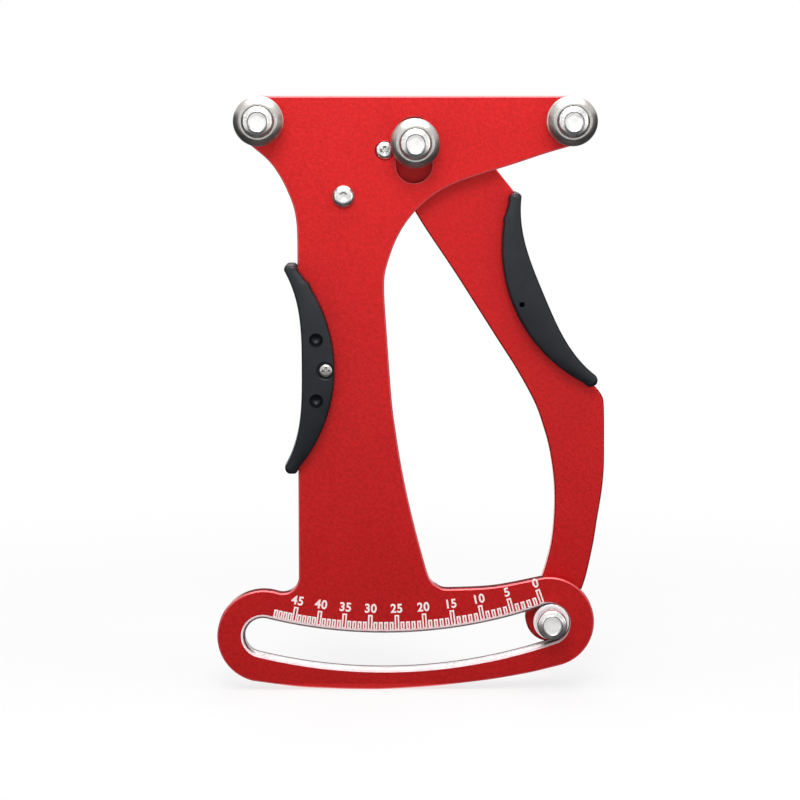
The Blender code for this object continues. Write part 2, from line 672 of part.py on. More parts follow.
def build_pointer(axis):
    """Bush, washer and screw that ride in the arc slot and point at the scale."""
    bore = CAP_SHANK_RADIUS + FIT
    front = FRAME_FRONT - POINTER_BUSH_PROUD
    lip = POST_LIP_WIDTH / 2
    profile = [
        (bore, front),
        (POINTER_BUSH_RADIUS - lip, front),
        (POINTER_BUSH_RADIUS, front + lip),
        (POINTER_BUSH_RADIUS, ARM_FRONT - FIT),
        (bore, ARM_FRONT - FIT),
    ]
    bush = turned("pointer_bush", profile)
    add_object("pointer_bush", bush, "steel", (POINTER.x, 0, POINTER.y), axis)
    washer_back = front - FIT
    washer_front = washer_back - POINTER_WASHER_THICKNESS
    profile = [
        (bore, washer_back),
        (bore, washer_front),
        (POINTER_WASHER_RADIUS - lip, washer_front),
        (POINTER_WASHER_RADIUS, washer_front + lip),
        (POINTER_WASHER_RADIUS, washer_back),
    ]
    washer = turned("pointer_washer", profile)
    add_object("pointer_washer", washer, "steel", (POINTER.x, 0, POINTER.y), axis)
    seat = washer_front - FIT
    screw = cap_screw("pointer_screw", ARM_BACK - SCREW_END_INSET - seat)
    add_object("pointer_screw", screw, "steel", (POINTER.x, seat, POINTER.y), axis)


def build_arm_spring_post(axis):
    """A shouldered pin whose reduced end is pressed into the arm's tail."""
    profile = spring_post_profile(ARM_BACK + FIT)
    loops = [circle_loop(BUTTON_SHANK_RADIUS, ARM_FRONT + SCREW_END_INSET)]
    loops.append(circle_loop(BUTTON_SHANK_RADIUS, ARM_BACK + FIT))
    loops += [circle_loop(radius, y) for radius, y in profile[1:-1]]
    mesh = lofted("arm_spring_post", loops)
    add_object("arm_spring_post", mesh, "dark_steel", (TAIL.x, 0, TAIL.y), axis)


# The pivot, clamped to the frame; the arm turns on its bush

def build_pivot():
    bush_end = ARM_BACK + FIT
    washer_end = bush_end + FIT + PIVOT_REAR_WASHER_THICKNESS
    bore = PIVOT_SHANK_RADIUS + FIT
    rings = {
        "pivot_bush": (bore, PIVOT_BUSH_RADIUS, FRAME_BACK + FIT, bush_end, "bronze"),
        "pivot_gap_washer": (
            PIVOT_BUSH_RADIUS + FIT, PIVOT_GAP_WASHER_RADIUS,
            FRAME_BACK + FIT, ARM_FRONT - FIT, "nylon",
        ),
        "pivot_rear_washer": (bore, PIVOT_REAR_WASHER_RADIUS, bush_end + FIT, washer_end, "steel"),
    }
    for name, (inner, outer, start, end, finish) in rings.items():
        profile = [(inner, start), (outer, start), (outer, end), (inner, end)]
        add_object(name, turned(name, profile, SCREW_SEGMENTS), finish, (PIVOT.x, 0, PIVOT.y))
    cone = PIVOT_HEAD_RADIUS - PIVOT_SHANK_RADIUS
    nut_start = washer_end + FIT
    nut_end = nut_start + NUT_HEIGHT
    loops = [
        circle_loop(PIVOT_SHANK_RADIUS, nut_end + SCREW_END_PROUD),
        circle_loop(PIVOT_SHANK_RADIUS, FRAME_FRONT + cone),
        circle_loop(PIVOT_HEAD_RADIUS, FRAME_FRONT),
    ]
    screw = lofted("pivot_screw", loops)
    add_object("pivot_screw", screw, "steel", (PIVOT.x, 0, PIVOT.y))
    profile_loops = [
        circle_loop(bore, nut_start),
        hexagon_loop(NUT_WIDTH, nut_start),
        hexagon_loop(NUT_WIDTH, nut_end - NUT_HEIGHT * 0.3),
        circle_loop(NUT_WIDTH * 0.46, nut_end - NUT_HEIGHT * 0.2),
        circle_loop(NUT_WIDTH * 0.40, nut_end),
        circle_loop(bore, nut_end),
    ]
    nut = ring_loft("pivot_nut", profile_loops)
    add_object("pivot_nut", nut, "steel", (PIVOT.x, 0, PIVOT.y))


def ring_loft(name, loops):
    """A closed ring through loops, the last of which is joined back to the first."""
    bm = bmesh.new()
    rings = [[bm.verts.new(point) for point in loop] for loop in loops]
    count = len(rings[0])
    for ring, following in zip(rings, rings[1:] + rings[:1]):
        for index in range(count):
            after = (index + 1) % count
            bm.faces.new((ring[index], ring[after], following[after], following[index]))
    return finish_mesh(name, bm)


# Grips

def grip_section(along, across_scale, middle, height):
    """Section of half a grip: a wall at each side, rounded edges and a slightly crowned face."""
    low = middle + (concave_edge(along) - middle) * across_scale
    high = middle + (convex_edge(along) - middle) * across_scale
    width = high - low
    edge = min(GRIP_EDGE_ROUND, width * 0.3)
    soft = edge * (1 - math.sqrt(0.5))
    return [
        (low, 0),
        (low, height - edge),
        (low + soft, height - soft),
        (low + edge, height),
        (low + width / 2, height + GRIP_CROWN * min(1, width / GRIP_CONVEX_REACH)),
        (high - edge, height),
        (high - soft, height - soft),
        (high, height - edge),
        (high, 0),
    ]


def grip_stations():
    """Places along the grip with the share of the full width, closing round each tip."""
    tip = []
    for degrees in (30, 55, 78):
        turn = math.radians(degrees)
        tip.append((GRIP_TIP_ALONG + GRIP_TIP_RADIUS * math.sin(turn), math.cos(turn)))
    body = [(GRIP_TIP_ALONG * math.sin(math.radians(degrees)), 1.0) for degrees in range(-90, 91, 12)]
    return [(-along, share) for along, share in reversed(tip)] + body + tip


def build_grip_half(name, grip, middle_y, outwards, half_plate, plate_edge, screw_head, parent=None):
    """Half a grip, hollowed for the plate; outwards is -1 for the front half and 1 for the rear."""
    end = GRIP_TIP_ALONG
    tip_middle = (concave_edge(end) + convex_edge(end)) / 2
    parting = FIT / 2
    loops = []
    for along, share in grip_stations():
        height = half_plate + GRIP_STAND * (1 - 0.28 * (along / GRIP_HALF_LENGTH) ** 2)
        within = max(-end, min(end, along))
        section = grip_section(within, share, tip_middle, height - parting)
        loops.append([grip_point(grip, middle_y, outwards, along, b, h + parting) for b, h in section])
    mesh = lofted(name, loops)
    centre = grip_place(*grip, 0, 0)
    mesh.transform(shift_in_plane(-centre))
    half = add_object(name, mesh, "nylon", (centre.x, 0, centre.y), parent)
    reach = GRIP_HALF_LENGTH + CUT_PAST
    pocket = [(along, max(across, plate_edge) - FIT) for along, across in notch_line(reach)]
    pocket += [(reach, GRIP_CONVEX_REACH + CUT_PAST), (-reach, GRIP_CONVEX_REACH + CUT_PAST)]
    levels = (-CUT_PAST, half_plate + FIT)
    loops = [[grip_point(grip, middle_y, outwards, a, b, h) for a, b in pocket] for h in levels]
    place_cutter(half, lofted(name + "_pocket_cutter", loops))
    cut_grip_holes(half, name, grip, middle_y, outwards, half_plate, screw_head)


def grip_point(grip, middle_y, outwards, along, across, height):
    place = grip_place(*grip, along, across)
    return Vector((place.x, middle_y + outwards * height, place.y))


def cut_grip_holes(half, name, grip, middle_y, outwards, half_plate, screw_head):
    """The screw's hole, and on the screw's side the recess for its head and two moulded dimples."""
    face = half_plate + GRIP_STAND
    holes = [("screw", 0, GRIP_SCREW_OUT, GRIP_SHANK_RADIUS + FIT, -CUT_PAST)]
    if screw_head:
        holes.append(("head", 0, GRIP_SCREW_OUT, GRIP_SCREW_HOLE_RADIUS, face - GRIP_SCREW_HOLE_DEPTH))
        for tag, along in (("upper", -GRIP_DIMPLE_SPACING / 2), ("lower", GRIP_DIMPLE_SPACING / 2)):
            across = convex_edge(along) - GRIP_DIMPLE_INSET
            holes.append((tag, along, across, GRIP_DIMPLE_RADIUS, face - GRIP_DIMPLE_DEPTH))
    for tag, along, across, radius, bottom in holes:
        place = grip_place(*grip, along, across)
        loops = []
        for height in (bottom, face + 2 * CUT_PAST):
            loop = circle_loop(radius, middle_y + outwards * height, SMALL_SEGMENTS)
            loops.append([Vector((p.x + place.x, p.y, p.z + place.y)) for p in loop])
        place_cutter(half, lofted(f"{name}_{tag}_cutter", loops))


def build_grip_screw(name, grip, middle_y, outwards, half_plate, parent=None):
    """A pan head screw from the screw's half, through the plate, into the other half."""
    place = grip_place(*grip, 0, GRIP_SCREW_OUT)
    seat = half_plate + GRIP_STAND - GRIP_SCREW_HOLE_DEPTH + FIT
    tip = -(half_plate + GRIP_STAND / 2)
    head = GRIP_HEAD_RADIUS
    levels = [
        (GRIP_SHANK_RADIUS * 0.4, tip),
        (GRIP_SHANK_RADIUS, tip + GRIP_SHANK_RADIUS),
        (GRIP_SHANK_RADIUS, seat),
        (head, seat),
        (head, seat + GRIP_HEAD_HEIGHT * 0.5),
        (head * 0.8, seat + GRIP_HEAD_HEIGHT * 0.9),
        (head * 0.4, seat + GRIP_HEAD_HEIGHT),
    ]
    mesh = lofted(name, [circle_loop(radius, outwards * height, SMALL_SEGMENTS) for radius, height in levels])
    add_object(name, mesh, "steel", (place.x, middle_y, place.y), parent)


def build_grips(axis):
    frame_half = FRAME_THICKNESS / 2
    arm_half = ARM_THICKNESS / 2
    frame_edge = STEM_LEFT_X - LEFT_GRIP_MIDDLE[0]
    arm_edge = 0.0
    left = (LEFT_GRIP, FRAME_MIDDLE)
    right = (RIGHT_GRIP, ARM_MIDDLE)
    build_grip_half("grip_left_front", *left, -1, frame_half, frame_edge, True)
    build_grip_half("grip_left_rear", *left, 1, frame_half, frame_edge, False)
    build_grip_screw("grip_left_screw", *left, -1, frame_half)
    build_grip_half("grip_right_front", *right, -1, arm_half, arm_edge, False, axis)
    build_grip_half("grip_right_rear", *right, 1, arm_half, arm_edge, True, axis)
    build_grip_screw("grip_right_screw", *right, 1, arm_half, axis)


# Spring

def wire(name, points, finish, parent, pivot):
    """A round wire along points, as a curve with filled ends."""
    curve = bpy.data.curves.new(name, "CURVE")
    curve.dimensions = "3D"
    curve.bevel_depth = SPRING_WIRE_RADIUS
    curve.bevel_resolution = 1
    curve.use_fill_caps = True
    spline = curve.splines.new("POLY")
    spline.points.add(len(points) - 1)
    origin = Vector((pivot.x, 0, pivot.y))
    for point, target in zip(points, spline.points):
        target.co = (*(point - origin), 1.0)
    add_object(name, curve, finish, origin, parent)


def spring_point(along, side, behind):
    """A place in the spring's own frame: along from the anchor, to one side, behind its plane."""
    direction = (TAIL - ANCHOR).normalized()
    across = Vector((-direction.y, direction.x))
    place = ANCHOR + direction * along + across * side
    return Vector((place.x, SPRING_Y + behind, place.y))


def hook_points(end, sense):
    """An open eye round a post, then a stem that leaves it towards the coil."""
    radius = SPRING_COIL_RADIUS
    points = [spring_point(end + sense * SPRING_HOOK_STEM, radius, 0)]
    steps = 16
    for step in range(steps + 1):
        angle = math.radians(90 + 310 * step / steps)
        points.append(spring_point(end + sense * radius * math.cos(angle), radius * math.sin(angle), 0))
    return points


def build_spring(swing, stretch):
    wire("spring_lower_hook", hook_points(0, 1), "dark_steel", swing, ANCHOR)
    wire("spring_upper_hook", hook_points(SPRING_REST_LENGTH, -1), "dark_steel", stretch, TAIL)
    start = SPRING_HOOK_STEM + SPRING_WIRE_RADIUS + FIT
    length = SPRING_REST_LENGTH - 2 * start
    per_turn = 12
    coil = []
    for step in range(SPRING_TURNS * per_turn + 1):
        angle = 2 * math.pi * step / per_turn
        along = start + length * step / (SPRING_TURNS * per_turn)
        coil.append(spring_point(
            along, SPRING_COIL_RADIUS * math.cos(angle), SPRING_COIL_RADIUS * math.sin(angle),
        ))
    wire("spring_coil", coil, "dark_steel", swing, ANCHOR)


def build():
    for old in list(bpy.data.objects):
        bpy.data.objects.remove(old)
    arm_axis = add_axis("arm_swing_axis", PIVOT, 0)
    spring_axis = add_axis("spring_swing_axis", ANCHOR, 0)
    stretch_axis = add_axis("spring_stretch_axis", TAIL, 0, spring_axis)
    build_frame_plate()
    build_fixed_posts()
    build_spring_anchor()
    build_pivot()
    build_arm_plate(arm_axis)
    build_moving_post(arm_axis)
    build_pointer(arm_axis)
    build_arm_spring_post(arm_axis)
    build_grips(arm_axis)
    build_spring(spring_axis, stretch_axis)


build()
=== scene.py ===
# %% [markdown]
# # A spoke tension meter
#
# The tool hangs on a bicycle wheel's spoke by three grooved posts. Squeezing its two black grips
# swings the arm behind the red plate, and a screw on the arm points at a scale of 0 to 45.
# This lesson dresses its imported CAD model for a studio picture. Each cell makes one piece or one
# finish, and prints what it made. Lengths are metres, +Z is up, and the scale faces -Y.

# %% Load the frame
import json
import math

import bmesh
import bpy
from mathutils import Matrix, Vector
from mathutils.geometry import tessellate_polygon


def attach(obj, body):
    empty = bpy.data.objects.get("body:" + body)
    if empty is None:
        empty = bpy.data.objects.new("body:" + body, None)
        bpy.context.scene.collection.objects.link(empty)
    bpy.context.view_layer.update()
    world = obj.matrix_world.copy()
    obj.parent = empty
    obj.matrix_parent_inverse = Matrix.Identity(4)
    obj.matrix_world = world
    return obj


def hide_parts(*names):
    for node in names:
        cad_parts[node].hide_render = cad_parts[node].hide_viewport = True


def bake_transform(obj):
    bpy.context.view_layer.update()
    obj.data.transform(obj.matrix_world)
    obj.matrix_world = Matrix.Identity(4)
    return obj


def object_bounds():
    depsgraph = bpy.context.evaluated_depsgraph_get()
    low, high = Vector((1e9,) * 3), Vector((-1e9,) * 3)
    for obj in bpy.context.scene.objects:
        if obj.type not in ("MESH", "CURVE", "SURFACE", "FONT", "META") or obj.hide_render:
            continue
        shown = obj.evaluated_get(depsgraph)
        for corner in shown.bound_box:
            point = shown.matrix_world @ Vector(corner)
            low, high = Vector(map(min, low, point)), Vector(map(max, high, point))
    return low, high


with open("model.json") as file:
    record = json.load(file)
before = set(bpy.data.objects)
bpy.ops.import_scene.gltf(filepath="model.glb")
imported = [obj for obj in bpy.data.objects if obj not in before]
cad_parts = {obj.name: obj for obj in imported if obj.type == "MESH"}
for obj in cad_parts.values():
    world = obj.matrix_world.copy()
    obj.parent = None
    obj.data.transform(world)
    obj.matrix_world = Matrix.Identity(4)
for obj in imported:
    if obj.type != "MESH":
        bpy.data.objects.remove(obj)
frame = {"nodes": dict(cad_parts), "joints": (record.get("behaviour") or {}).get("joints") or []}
cad_low, cad_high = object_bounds()

# %% [markdown]
# ## The camera
#
# A photographer would shoot such a flat tool nearly square on, with a long lens, so that its
# outline stays true. The photo looks down a little: the floors of the slots show and their roofs
# don't. A lens shift could give that, but every other view would inherit it, so the camera is
# raised and tilted instead, far enough away that the tilt hardly narrows the lower end.

# %% Camera
VIEW_DISTANCE = 0.900
VIEW_ELEVATION = math.radians(7.0)
VIEW_AZIMUTH = math.radians(-0.6)
VIEW_TARGET = Vector((-0.0050, 0.0, -0.0867))
SENSOR_WIDTH = 36.0
FOCAL_PIXELS = 2720
PHOTO_WIDTH = 800


def placed(name, data, location=(0, 0, 0)):
    """A new object at a place, linked to the scene."""
    made = bpy.data.objects.new(name, data)
    bpy.context.scene.collection.objects.link(made)
    made.location = location
    return made


def aim(made, way):
    made.rotation_mode = "QUATERNION"
    made.rotation_quaternion = way.to_track_quat("-Z", "Y")


backwards = Vector((
    math.sin(VIEW_AZIMUTH) * math.cos(VIEW_ELEVATION),
    -math.cos(VIEW_AZIMUTH) * math.cos(VIEW_ELEVATION),
    math.sin(VIEW_ELEVATION),
))
camera_data = bpy.data.cameras.new("view_camera")
camera_data.sensor_width = SENSOR_WIDTH
camera_data.lens = SENSOR_WIDTH * FOCAL_PIXELS / PHOTO_WIDTH
camera = placed("view_camera", camera_data, VIEW_TARGET + backwards * VIEW_DISTANCE)
aim(camera, -backwards)
bpy.context.scene.camera = camera
bpy.context.scene.view_settings.view_transform = "Standard"
print("lens", round(camera_data.lens, 1), "mm")

# %% [markdown]
# ## Writing shader sums as Python
#
# A node tree for wear or grain is mostly arithmetic. One small class stands for a socket, and the
# ordinary signs +, - and * on it add the Math nodes. Everything else, such as a noise or a bump,
# comes from one method that takes the node's type, its settings and its inputs.


# %% Sockets and finishes
class Wire:
    """An output socket in a tree of nodes; sums on it add Math nodes."""

    def __init__(self, tree, socket):
        self.tree = tree
        self.socket = socket

    def maths(self, operation, *values):
        return self.tree.node("ShaderNodeMath", {"operation": operation}, dict(enumerate(values)))

    def __add__(self, other):
        return self.maths("ADD", self, other)

    def __sub__(self, other):
        return self.maths("SUBTRACT", self, other)

    def __rsub__(self, other):
        return self.maths("SUBTRACT", other, self)

    def __mul__(self, other):
        return self.maths("MULTIPLY", self, other)

    __radd__ = __add__
    __rmul__ = __mul__

    def between(self, low, high):
        """0 below low, 1 above high, and smooth from one to the other."""
        return self.tree.node(
            "ShaderNodeMapRange", {"interpolation_type": "SMOOTHSTEP"},
            {"Value": self, "From Min": low, "From Max": high},
        )


class Tree:
    """A tree of nodes in the making."""

    def __init__(self, owner):
        owner.use_nodes = True
        self.nodes = owner.node_tree.nodes
        self.links = owner.node_tree.links

    def node(self, kind, settings=None, inputs=None, output=0):
        made = self.nodes.new(kind)
        for key, value in (settings or {}).items():
            setattr(made, key, value)
        for key, value in (inputs or {}).items():
            self.plug(value, made.inputs[key])
        return Wire(self, made.outputs[output])

    def plug(self, value, socket):
        if isinstance(value, Wire):
            self.links.new(value.socket, socket)
        else:
            socket.default_value = value


class Finish(Tree):
    """A material in the making, with its Principled shader."""

    def __init__(self, name, **constants):
        self.material = bpy.data.materials.new(name)
        super().__init__(self.material)
        self.shader = self.nodes["Principled BSDF"]
        for key, value in constants.items():
            socket = key.replace("_", " ").title().replace("Ior", "IOR")
            self.shader.inputs[socket].default_value = value

    def colours(self, mask, first, second):
        """One colour where the mask is 0 and the other where it is 1."""
        mixed = {0: mask}
        for index, colour in ((6, first), (7, second)):
            mixed[index] = colour if isinstance(colour, Wire) else (*colour, 1.0)
        return self.node("ShaderNodeMix", {"data_type": "RGBA"}, mixed, output=2)

    def place(self):
        """The point being shaded, in the piece's own coordinates."""
        return self.node("ShaderNodeTexCoord", output=3)

    def parts(self, vector):
        """The X, Y and Z of a vector."""
        split = self.node("ShaderNodeSeparateXYZ", inputs={"Vector": vector})
        return [Wire(self, socket) for socket in split.socket.node.outputs]

    def noise(self, place, size, detail=2.0, rough=0.5):
        """Noise of 0 to 1 whose grains are about this many metres across."""
        return self.node(
            "ShaderNodeTexNoise", None,
            {"Vector": place, "Scale": 1 / size, "Detail": detail, "Roughness": rough},
        )

    def relief(self, height, depth):
        """Feeds the shader's normal from a height of 0 to 1 that is this many metres deep."""
        bump = self.node(
            "ShaderNodeBump", None, {"Strength": 1.0, "Distance": depth, "Height": height},
        )
        self.plug(bump, self.shader.inputs["Normal"])

    def paint(self, colour=None, roughness=None, metallic=None):
        for name, value in (("Base Color", colour), ("Roughness", roughness), ("Metallic", metallic)):
            if value is not None:
                self.plug(value, self.shader.inputs[name])


print("shader helpers ready")

# %% [markdown]
# ## Red anodised aluminium
#
# The plates are bead blasted, dyed red and sealed. Up close the surface is a fine even grain that
# sparkles, under a thin clear oxide layer. The metal below gives the colour its depth, so the
# finish is partly metallic, with a soft clear coat for the oxide. Two sizes of noise make the
# blasted grain, and a broad one lets the dye drift a little, as it does on real plates.


# %% Anodised finishes
def anodised(name, bright, deep, roughness, coat, relief, metallic=0.50):
    finish = Finish(
        name, coat_weight=coat, coat_roughness=0.22, specular_ior_level=0.30, metallic=metallic,
    )
    place = finish.place()
    grain = finish.noise(place, 0.00120, 3.0, 0.62)
    dust = finish.noise(place, 0.00035, 2.0)
    drift = finish.noise(place, 0.022, 3.0)
    tone = 0.14 + grain.between(0.36, 0.64) * 0.26 + dust.between(0.35, 0.65) * 0.16 + drift * 0.30
    finish.paint(finish.colours(tone, deep, bright), roughness - 0.10 + 0.20 * grain)
    finish.relief(grain * 0.5 + dust * 0.5, relief)
    return finish.material


plate_red = anodised("plate_red", (0.720, 0.014, 0.015), (0.420, 0.003, 0.004), 0.44, 0.10, 0.00009)
edge_red = anodised("edge_red", (0.86, 0.030, 0.030), (0.66, 0.014, 0.014), 0.22, 0.40, 0.00001, 0.90)
# The frame's front chamfers take this pinker, paler red, a painted highlight for the sheen they catch;
# their gloss is real.
rim_painted_sheen = anodised("rim_painted_sheen", (0.90, 0.15, 0.16), (0.74, 0.09, 0.10), 0.36, 0.25, 0.00002)
print("made", plate_red.name, edge_red.name, "and", rim_painted_sheen.name)

# %% [markdown]
# ## Bare machined aluminium
#
# The long slot was milled after dyeing, so its walls are bare metal. A milling cutter leaves fine
# lines that run along the wall, one above the other through the plate's thickness. They are a
# noise stretched far along X and Z and hardly at all along Y. Painted shade darkens the wall to a
# dark red near its far edge. The wide chamfer at the front has two parts: a pale pink satin cut
# outside, whose pale pink is a painted highlight on the bare metal, and a bright bevel inside that
# mirrors what is above or below it. The pointer's washer and the floors of the screws' sockets are
# the same kind of satin, without the pink; in the sockets its paleness is painted light.


# %% Bare slot walls
def machined(name, colour, worn, line_pitch, metallic, roughness):
    finish = Finish(name, metallic=metallic, anisotropic=0.3)
    place = finish.place()
    stretched = finish.node(
        "ShaderNodeVectorMath", {"operation": "MULTIPLY"}, {0: place, 1: (0.04, 1.0, 0.04)},
    )
    lines = finish.noise(stretched, line_pitch, 2.0, 0.6)
    patches = finish.noise(place, 0.004, 3.0)
    bare = finish.colours(patches.between(0.35, 0.7), colour, worn)
    # Painted shade: near the plate's back face the wall's colour goes to a dark red.
    painted_far_shade = finish.parts(place)[1].between(FRAME_BACK - 0.0022, FRAME_BACK - 0.0012)
    finish.paint(finish.colours(painted_far_shade, bare, (0.10, 0.035, 0.035)), roughness + 0.22 * lines)
    finish.relief(lines, 0.00003)
    return finish.material


def satin_cut(name, colour, worn):
    finish = Finish(name, specular_ior_level=0.5, roughness=0.32)
    place = finish.place()
    patches = finish.noise(place, 0.0025, 3.0)
    lines = finish.noise(place, 0.00025, 2.0)
    finish.paint(finish.colours(patches.between(0.35, 0.7) * 0.6 + lines * 0.4, colour, worn))
    finish.relief(lines, 0.00003)
    return finish.material


FRAME_BACK = 0.0108
slot_wall = machined("slot_wall", (0.95, 0.92, 0.92), (0.88, 0.82, 0.83), 0.00012, 0.25, 0.40)
slot_bevel = machined("slot_bevel", (0.40, 0.36, 0.36), (0.28, 0.25, 0.25), 0.00012, 1.0, 0.14)
# The slot's outer chamfer: bare cut metal whose pale pink is a painted highlight.
slot_cut_painted_sheen = satin_cut("slot_cut_painted_sheen", (0.96, 0.78, 0.80), (0.88, 0.60, 0.64))
washer_satin = satin_cut("washer_satin", (0.95, 0.88, 0.88), (0.84, 0.74, 0.75))
# The screws' socket walls and floors take this pale satin as painted light.
socket_painted_light = satin_cut("socket_painted_light", (0.90, 0.89, 0.88), (0.76, 0.75, 0.74))
print("made", slot_wall.name, slot_bevel.name, slot_cut_painted_sheen.name, "and", socket_painted_light.name)

# %% [markdown]
# ## Turned and plated steel
#
# The posts were turned on a lathe, which leaves rings about their axis. Every post's own origin
# is on its axis, so the distance from that axis in the piece's own coordinates draws the rings.
# The screws are plated and smoother, with faint scuffs.


# %% Steel finishes
def ringed_steel(name, colour, dull, pitch, roughness, depth):
    finish = Finish(name, metallic=1.0)
    place = finish.place()
    x, y, z = finish.parts(place)
    squared = x * x + z * z
    wobble = finish.noise(place, 0.003, 2.0)
    along = squared.maths("SQRT", squared) + y * 0.7 + wobble * 0.0003
    rings = along.maths("SINE", along * (2 * math.pi / pitch)) * 0.5 + 0.5
    scuffs = finish.noise(place, 0.0009, 4.0, 0.65)
    finish.paint(finish.colours(scuffs.between(0.40, 0.72), colour, dull), roughness + 0.16 * scuffs)
    finish.relief(rings * 0.7 + scuffs * 0.3, depth)
    return finish.material


post_steel = ringed_steel("post_steel", (0.52, 0.50, 0.48), (0.40, 0.39, 0.37), 0.00034, 0.26, 0.000006)
screw_steel = ringed_steel("screw_steel", (0.80, 0.79, 0.78), (0.62, 0.61, 0.60), 0.00030, 0.16, 0.000002)
# Dark steel for the pillars and the spring; on a screw socket's mouth it is painted shade.
dark_steel = ringed_steel("dark_steel", (0.44, 0.43, 0.42), (0.33, 0.33, 0.33), 0.00028, 0.26, 0.000003)
bush_bronze = ringed_steel("bush_bronze", (0.60, 0.40, 0.21), (0.46, 0.30, 0.15), 0.00030, 0.25, 0.000003)
print("made four turned metals")

# %% [markdown]
# ## Moulded black nylon
#
# The grips are moulded halves with a spark-eroded texture: fine pits, a satin sheen and broad
# patches rubbed slightly lighter. The same finish in a paler grey suits the plain plastic washer.


# %% Nylon finishes
def nylon(name, colour, rubbed, roughness):
    finish = Finish(name, specular_ior_level=0.36)
    place = finish.place()
    pits = finish.noise(place, 0.00026, 3.0, 0.6)
    smears = finish.noise(place, 0.009, 3.0)
    finish.paint(
        finish.colours(smears.between(0.35, 0.75), colour, rubbed), roughness - 0.05 + 0.18 * pits,
    )
    finish.relief(pits, 0.00004)
    return finish.material


grip_black = nylon("grip_black", (0.0050, 0.0064, 0.0094), (0.0084, 0.0102, 0.0136), 0.31)
washer_nylon = nylon("washer_nylon", (0.030, 0.031, 0.034), (0.042, 0.043, 0.046), 0.40)
print("made", grip_black.name, "and", washer_nylon.name)

# %% [markdown]
# ## The scale's white
#
# The scale is laser marked: the beam burns the dye off and leaves a matt white line with a
# slightly uneven density.


# %% Marking finish
def marking():
    finish = Finish("laser_white", specular_ior_level=0.3)
    place = finish.place()
    burn = finish.noise(place, 0.00022, 2.0)
    fade = finish.noise(place, 0.006, 2.0)
    finish.paint(
        finish.colours(burn.between(0.25, 0.6) * 0.7 + fade.between(0.3, 0.7) * 0.3,
                       (0.86, 0.66, 0.66), (0.96, 0.86, 0.85)),
        0.50 + 0.2 * burn,
    )
    return finish.material


laser_white = marking()
print("made", laser_white.name)

# %% [markdown]
# ## Places in the plane of the plates
#
# Both plates are flat, so their outlines are drawn in X and Z. The pivot comes from the packed
# joint, and the rest is counted from it or from the line of the two fixed posts, as a draughtsman
# would dimension it.

# %% Shared places
joints = {joint["name"]: joint for joint in frame["joints"]}
PIVOT = Vector(joints["arm_swing"]["pos_m"]).xz
ANCHOR = Vector(joints["spring_swing"]["pos_m"]).xz
POST_LINE_Z = 0.0051
LEFT_POST = Vector((-0.0513, POST_LINE_Z))
RIGHT_POST = Vector((0.0513, POST_LINE_Z))
MOVING_POST = Vector((0.0, -0.0021))
FIT = 0.0003
FRAME_FRONT = 0.0058
ARM_FRONT, ARM_BACK = 0.0120, 0.0170
POINTER_RADIUS = 0.1675
POINTER_REST_DEG = 19.50
ARM_TRAVEL_DEG = 33.7
ARC_SLOT_RADIUS = 0.1680
CAP_SHANK_RADIUS = 0.0030
BUTTON_SHANK_RADIUS = 0.0020
GRIP_SHANK_RADIUS = 0.0011
PIVOT_HEAD_RADIUS = 0.0030
PIVOT_SHANK_RADIUS = 0.0015
PIVOT_BUSH_RADIUS = 0.0040
POINTER_BUSH_RADIUS = 0.0054
ARM_EYE_RADIUS = 0.0082
SPRING_Y = 0.0215


def polar(centre, radius, degrees_from_down):
    """A place round a centre, its angle counted from straight down towards +X."""
    angle = math.radians(degrees_from_down)
    return centre + radius * Vector((math.sin(angle), -math.cos(angle)))


def at(place, y=0):
    """The location of a place in the plane of the plates, at this depth."""
    return place.x, y, place.y


POINTER = polar(PIVOT, POINTER_RADIUS, POINTER_REST_DEG)
SPRING_LENGTH = 0.0240
ANCHOR_ARM = (ANCHOR - PIVOT).length
spring_opening = 2 * math.asin(SPRING_LENGTH / 2 / ANCHOR_ARM)
tail_angle = math.atan2((ANCHOR - PIVOT).y, (ANCHOR - PIVOT).x) - spring_opening
TAIL = PIVOT + ANCHOR_ARM * Vector((math.cos(tail_angle), math.sin(tail_angle)))
for name, place in (("pointer", POINTER), ("tail", TAIL)):
    print(name, "at", [round(value, 4) for value in place])

# %% [markdown]
# ## Curves for the outlines
#
# An outline is arcs round the posts and lobes, joined by free edges. A free edge is given by a few
# points, as shares of the way from its start to its end, and a Catmull-Rom curve runs through them.


# %% Curve helpers
def arc(centre, radius, start_deg, end_deg, steps):
    points = []
    for step in range(steps + 1):
        angle = math.radians(start_deg + (end_deg - start_deg) * step / steps)
        points.append(centre + radius * Vector((math.cos(angle), math.sin(angle))))
    return points


def smooth(points, steps=8):
    ends = [2 * points[0] - points[1]] + points + [2 * points[-1] - points[-2]]
    curve = []
    for index in range(1, len(ends) - 2):
        a, b, c, d = ends[index - 1:index + 3]
        for step in range(steps):
            t = step / steps
            curve.append(
                0.5 * (2 * b + (c - a) * t + (2 * a - 5 * b + 4 * c - d) * t ** 2
                       + (3 * b - a - 3 * c + d) * t ** 3)
            )
    curve.append(points[-1])
    return curve


def swept(start, end, *shares):
    way = end - start
    left = Vector((-way.y, way.x))
    return [start] + [start + way * along + left * across for along, across in shares] + [end]


def below_posts(x, drop):
    return Vector((x, POST_LINE_Z - drop))


print("quarter arc of", len(arc(PIVOT, 0.01, 0, 90, 16)), "points")

# %% [markdown]
# ## The shape of the grips
#
# A grip is a crescent. Its hollow edge follows the palm and its bulging edge is an arc, with a
# small lug near the upper tip. The plates are cut back under it, so its shape comes before theirs.

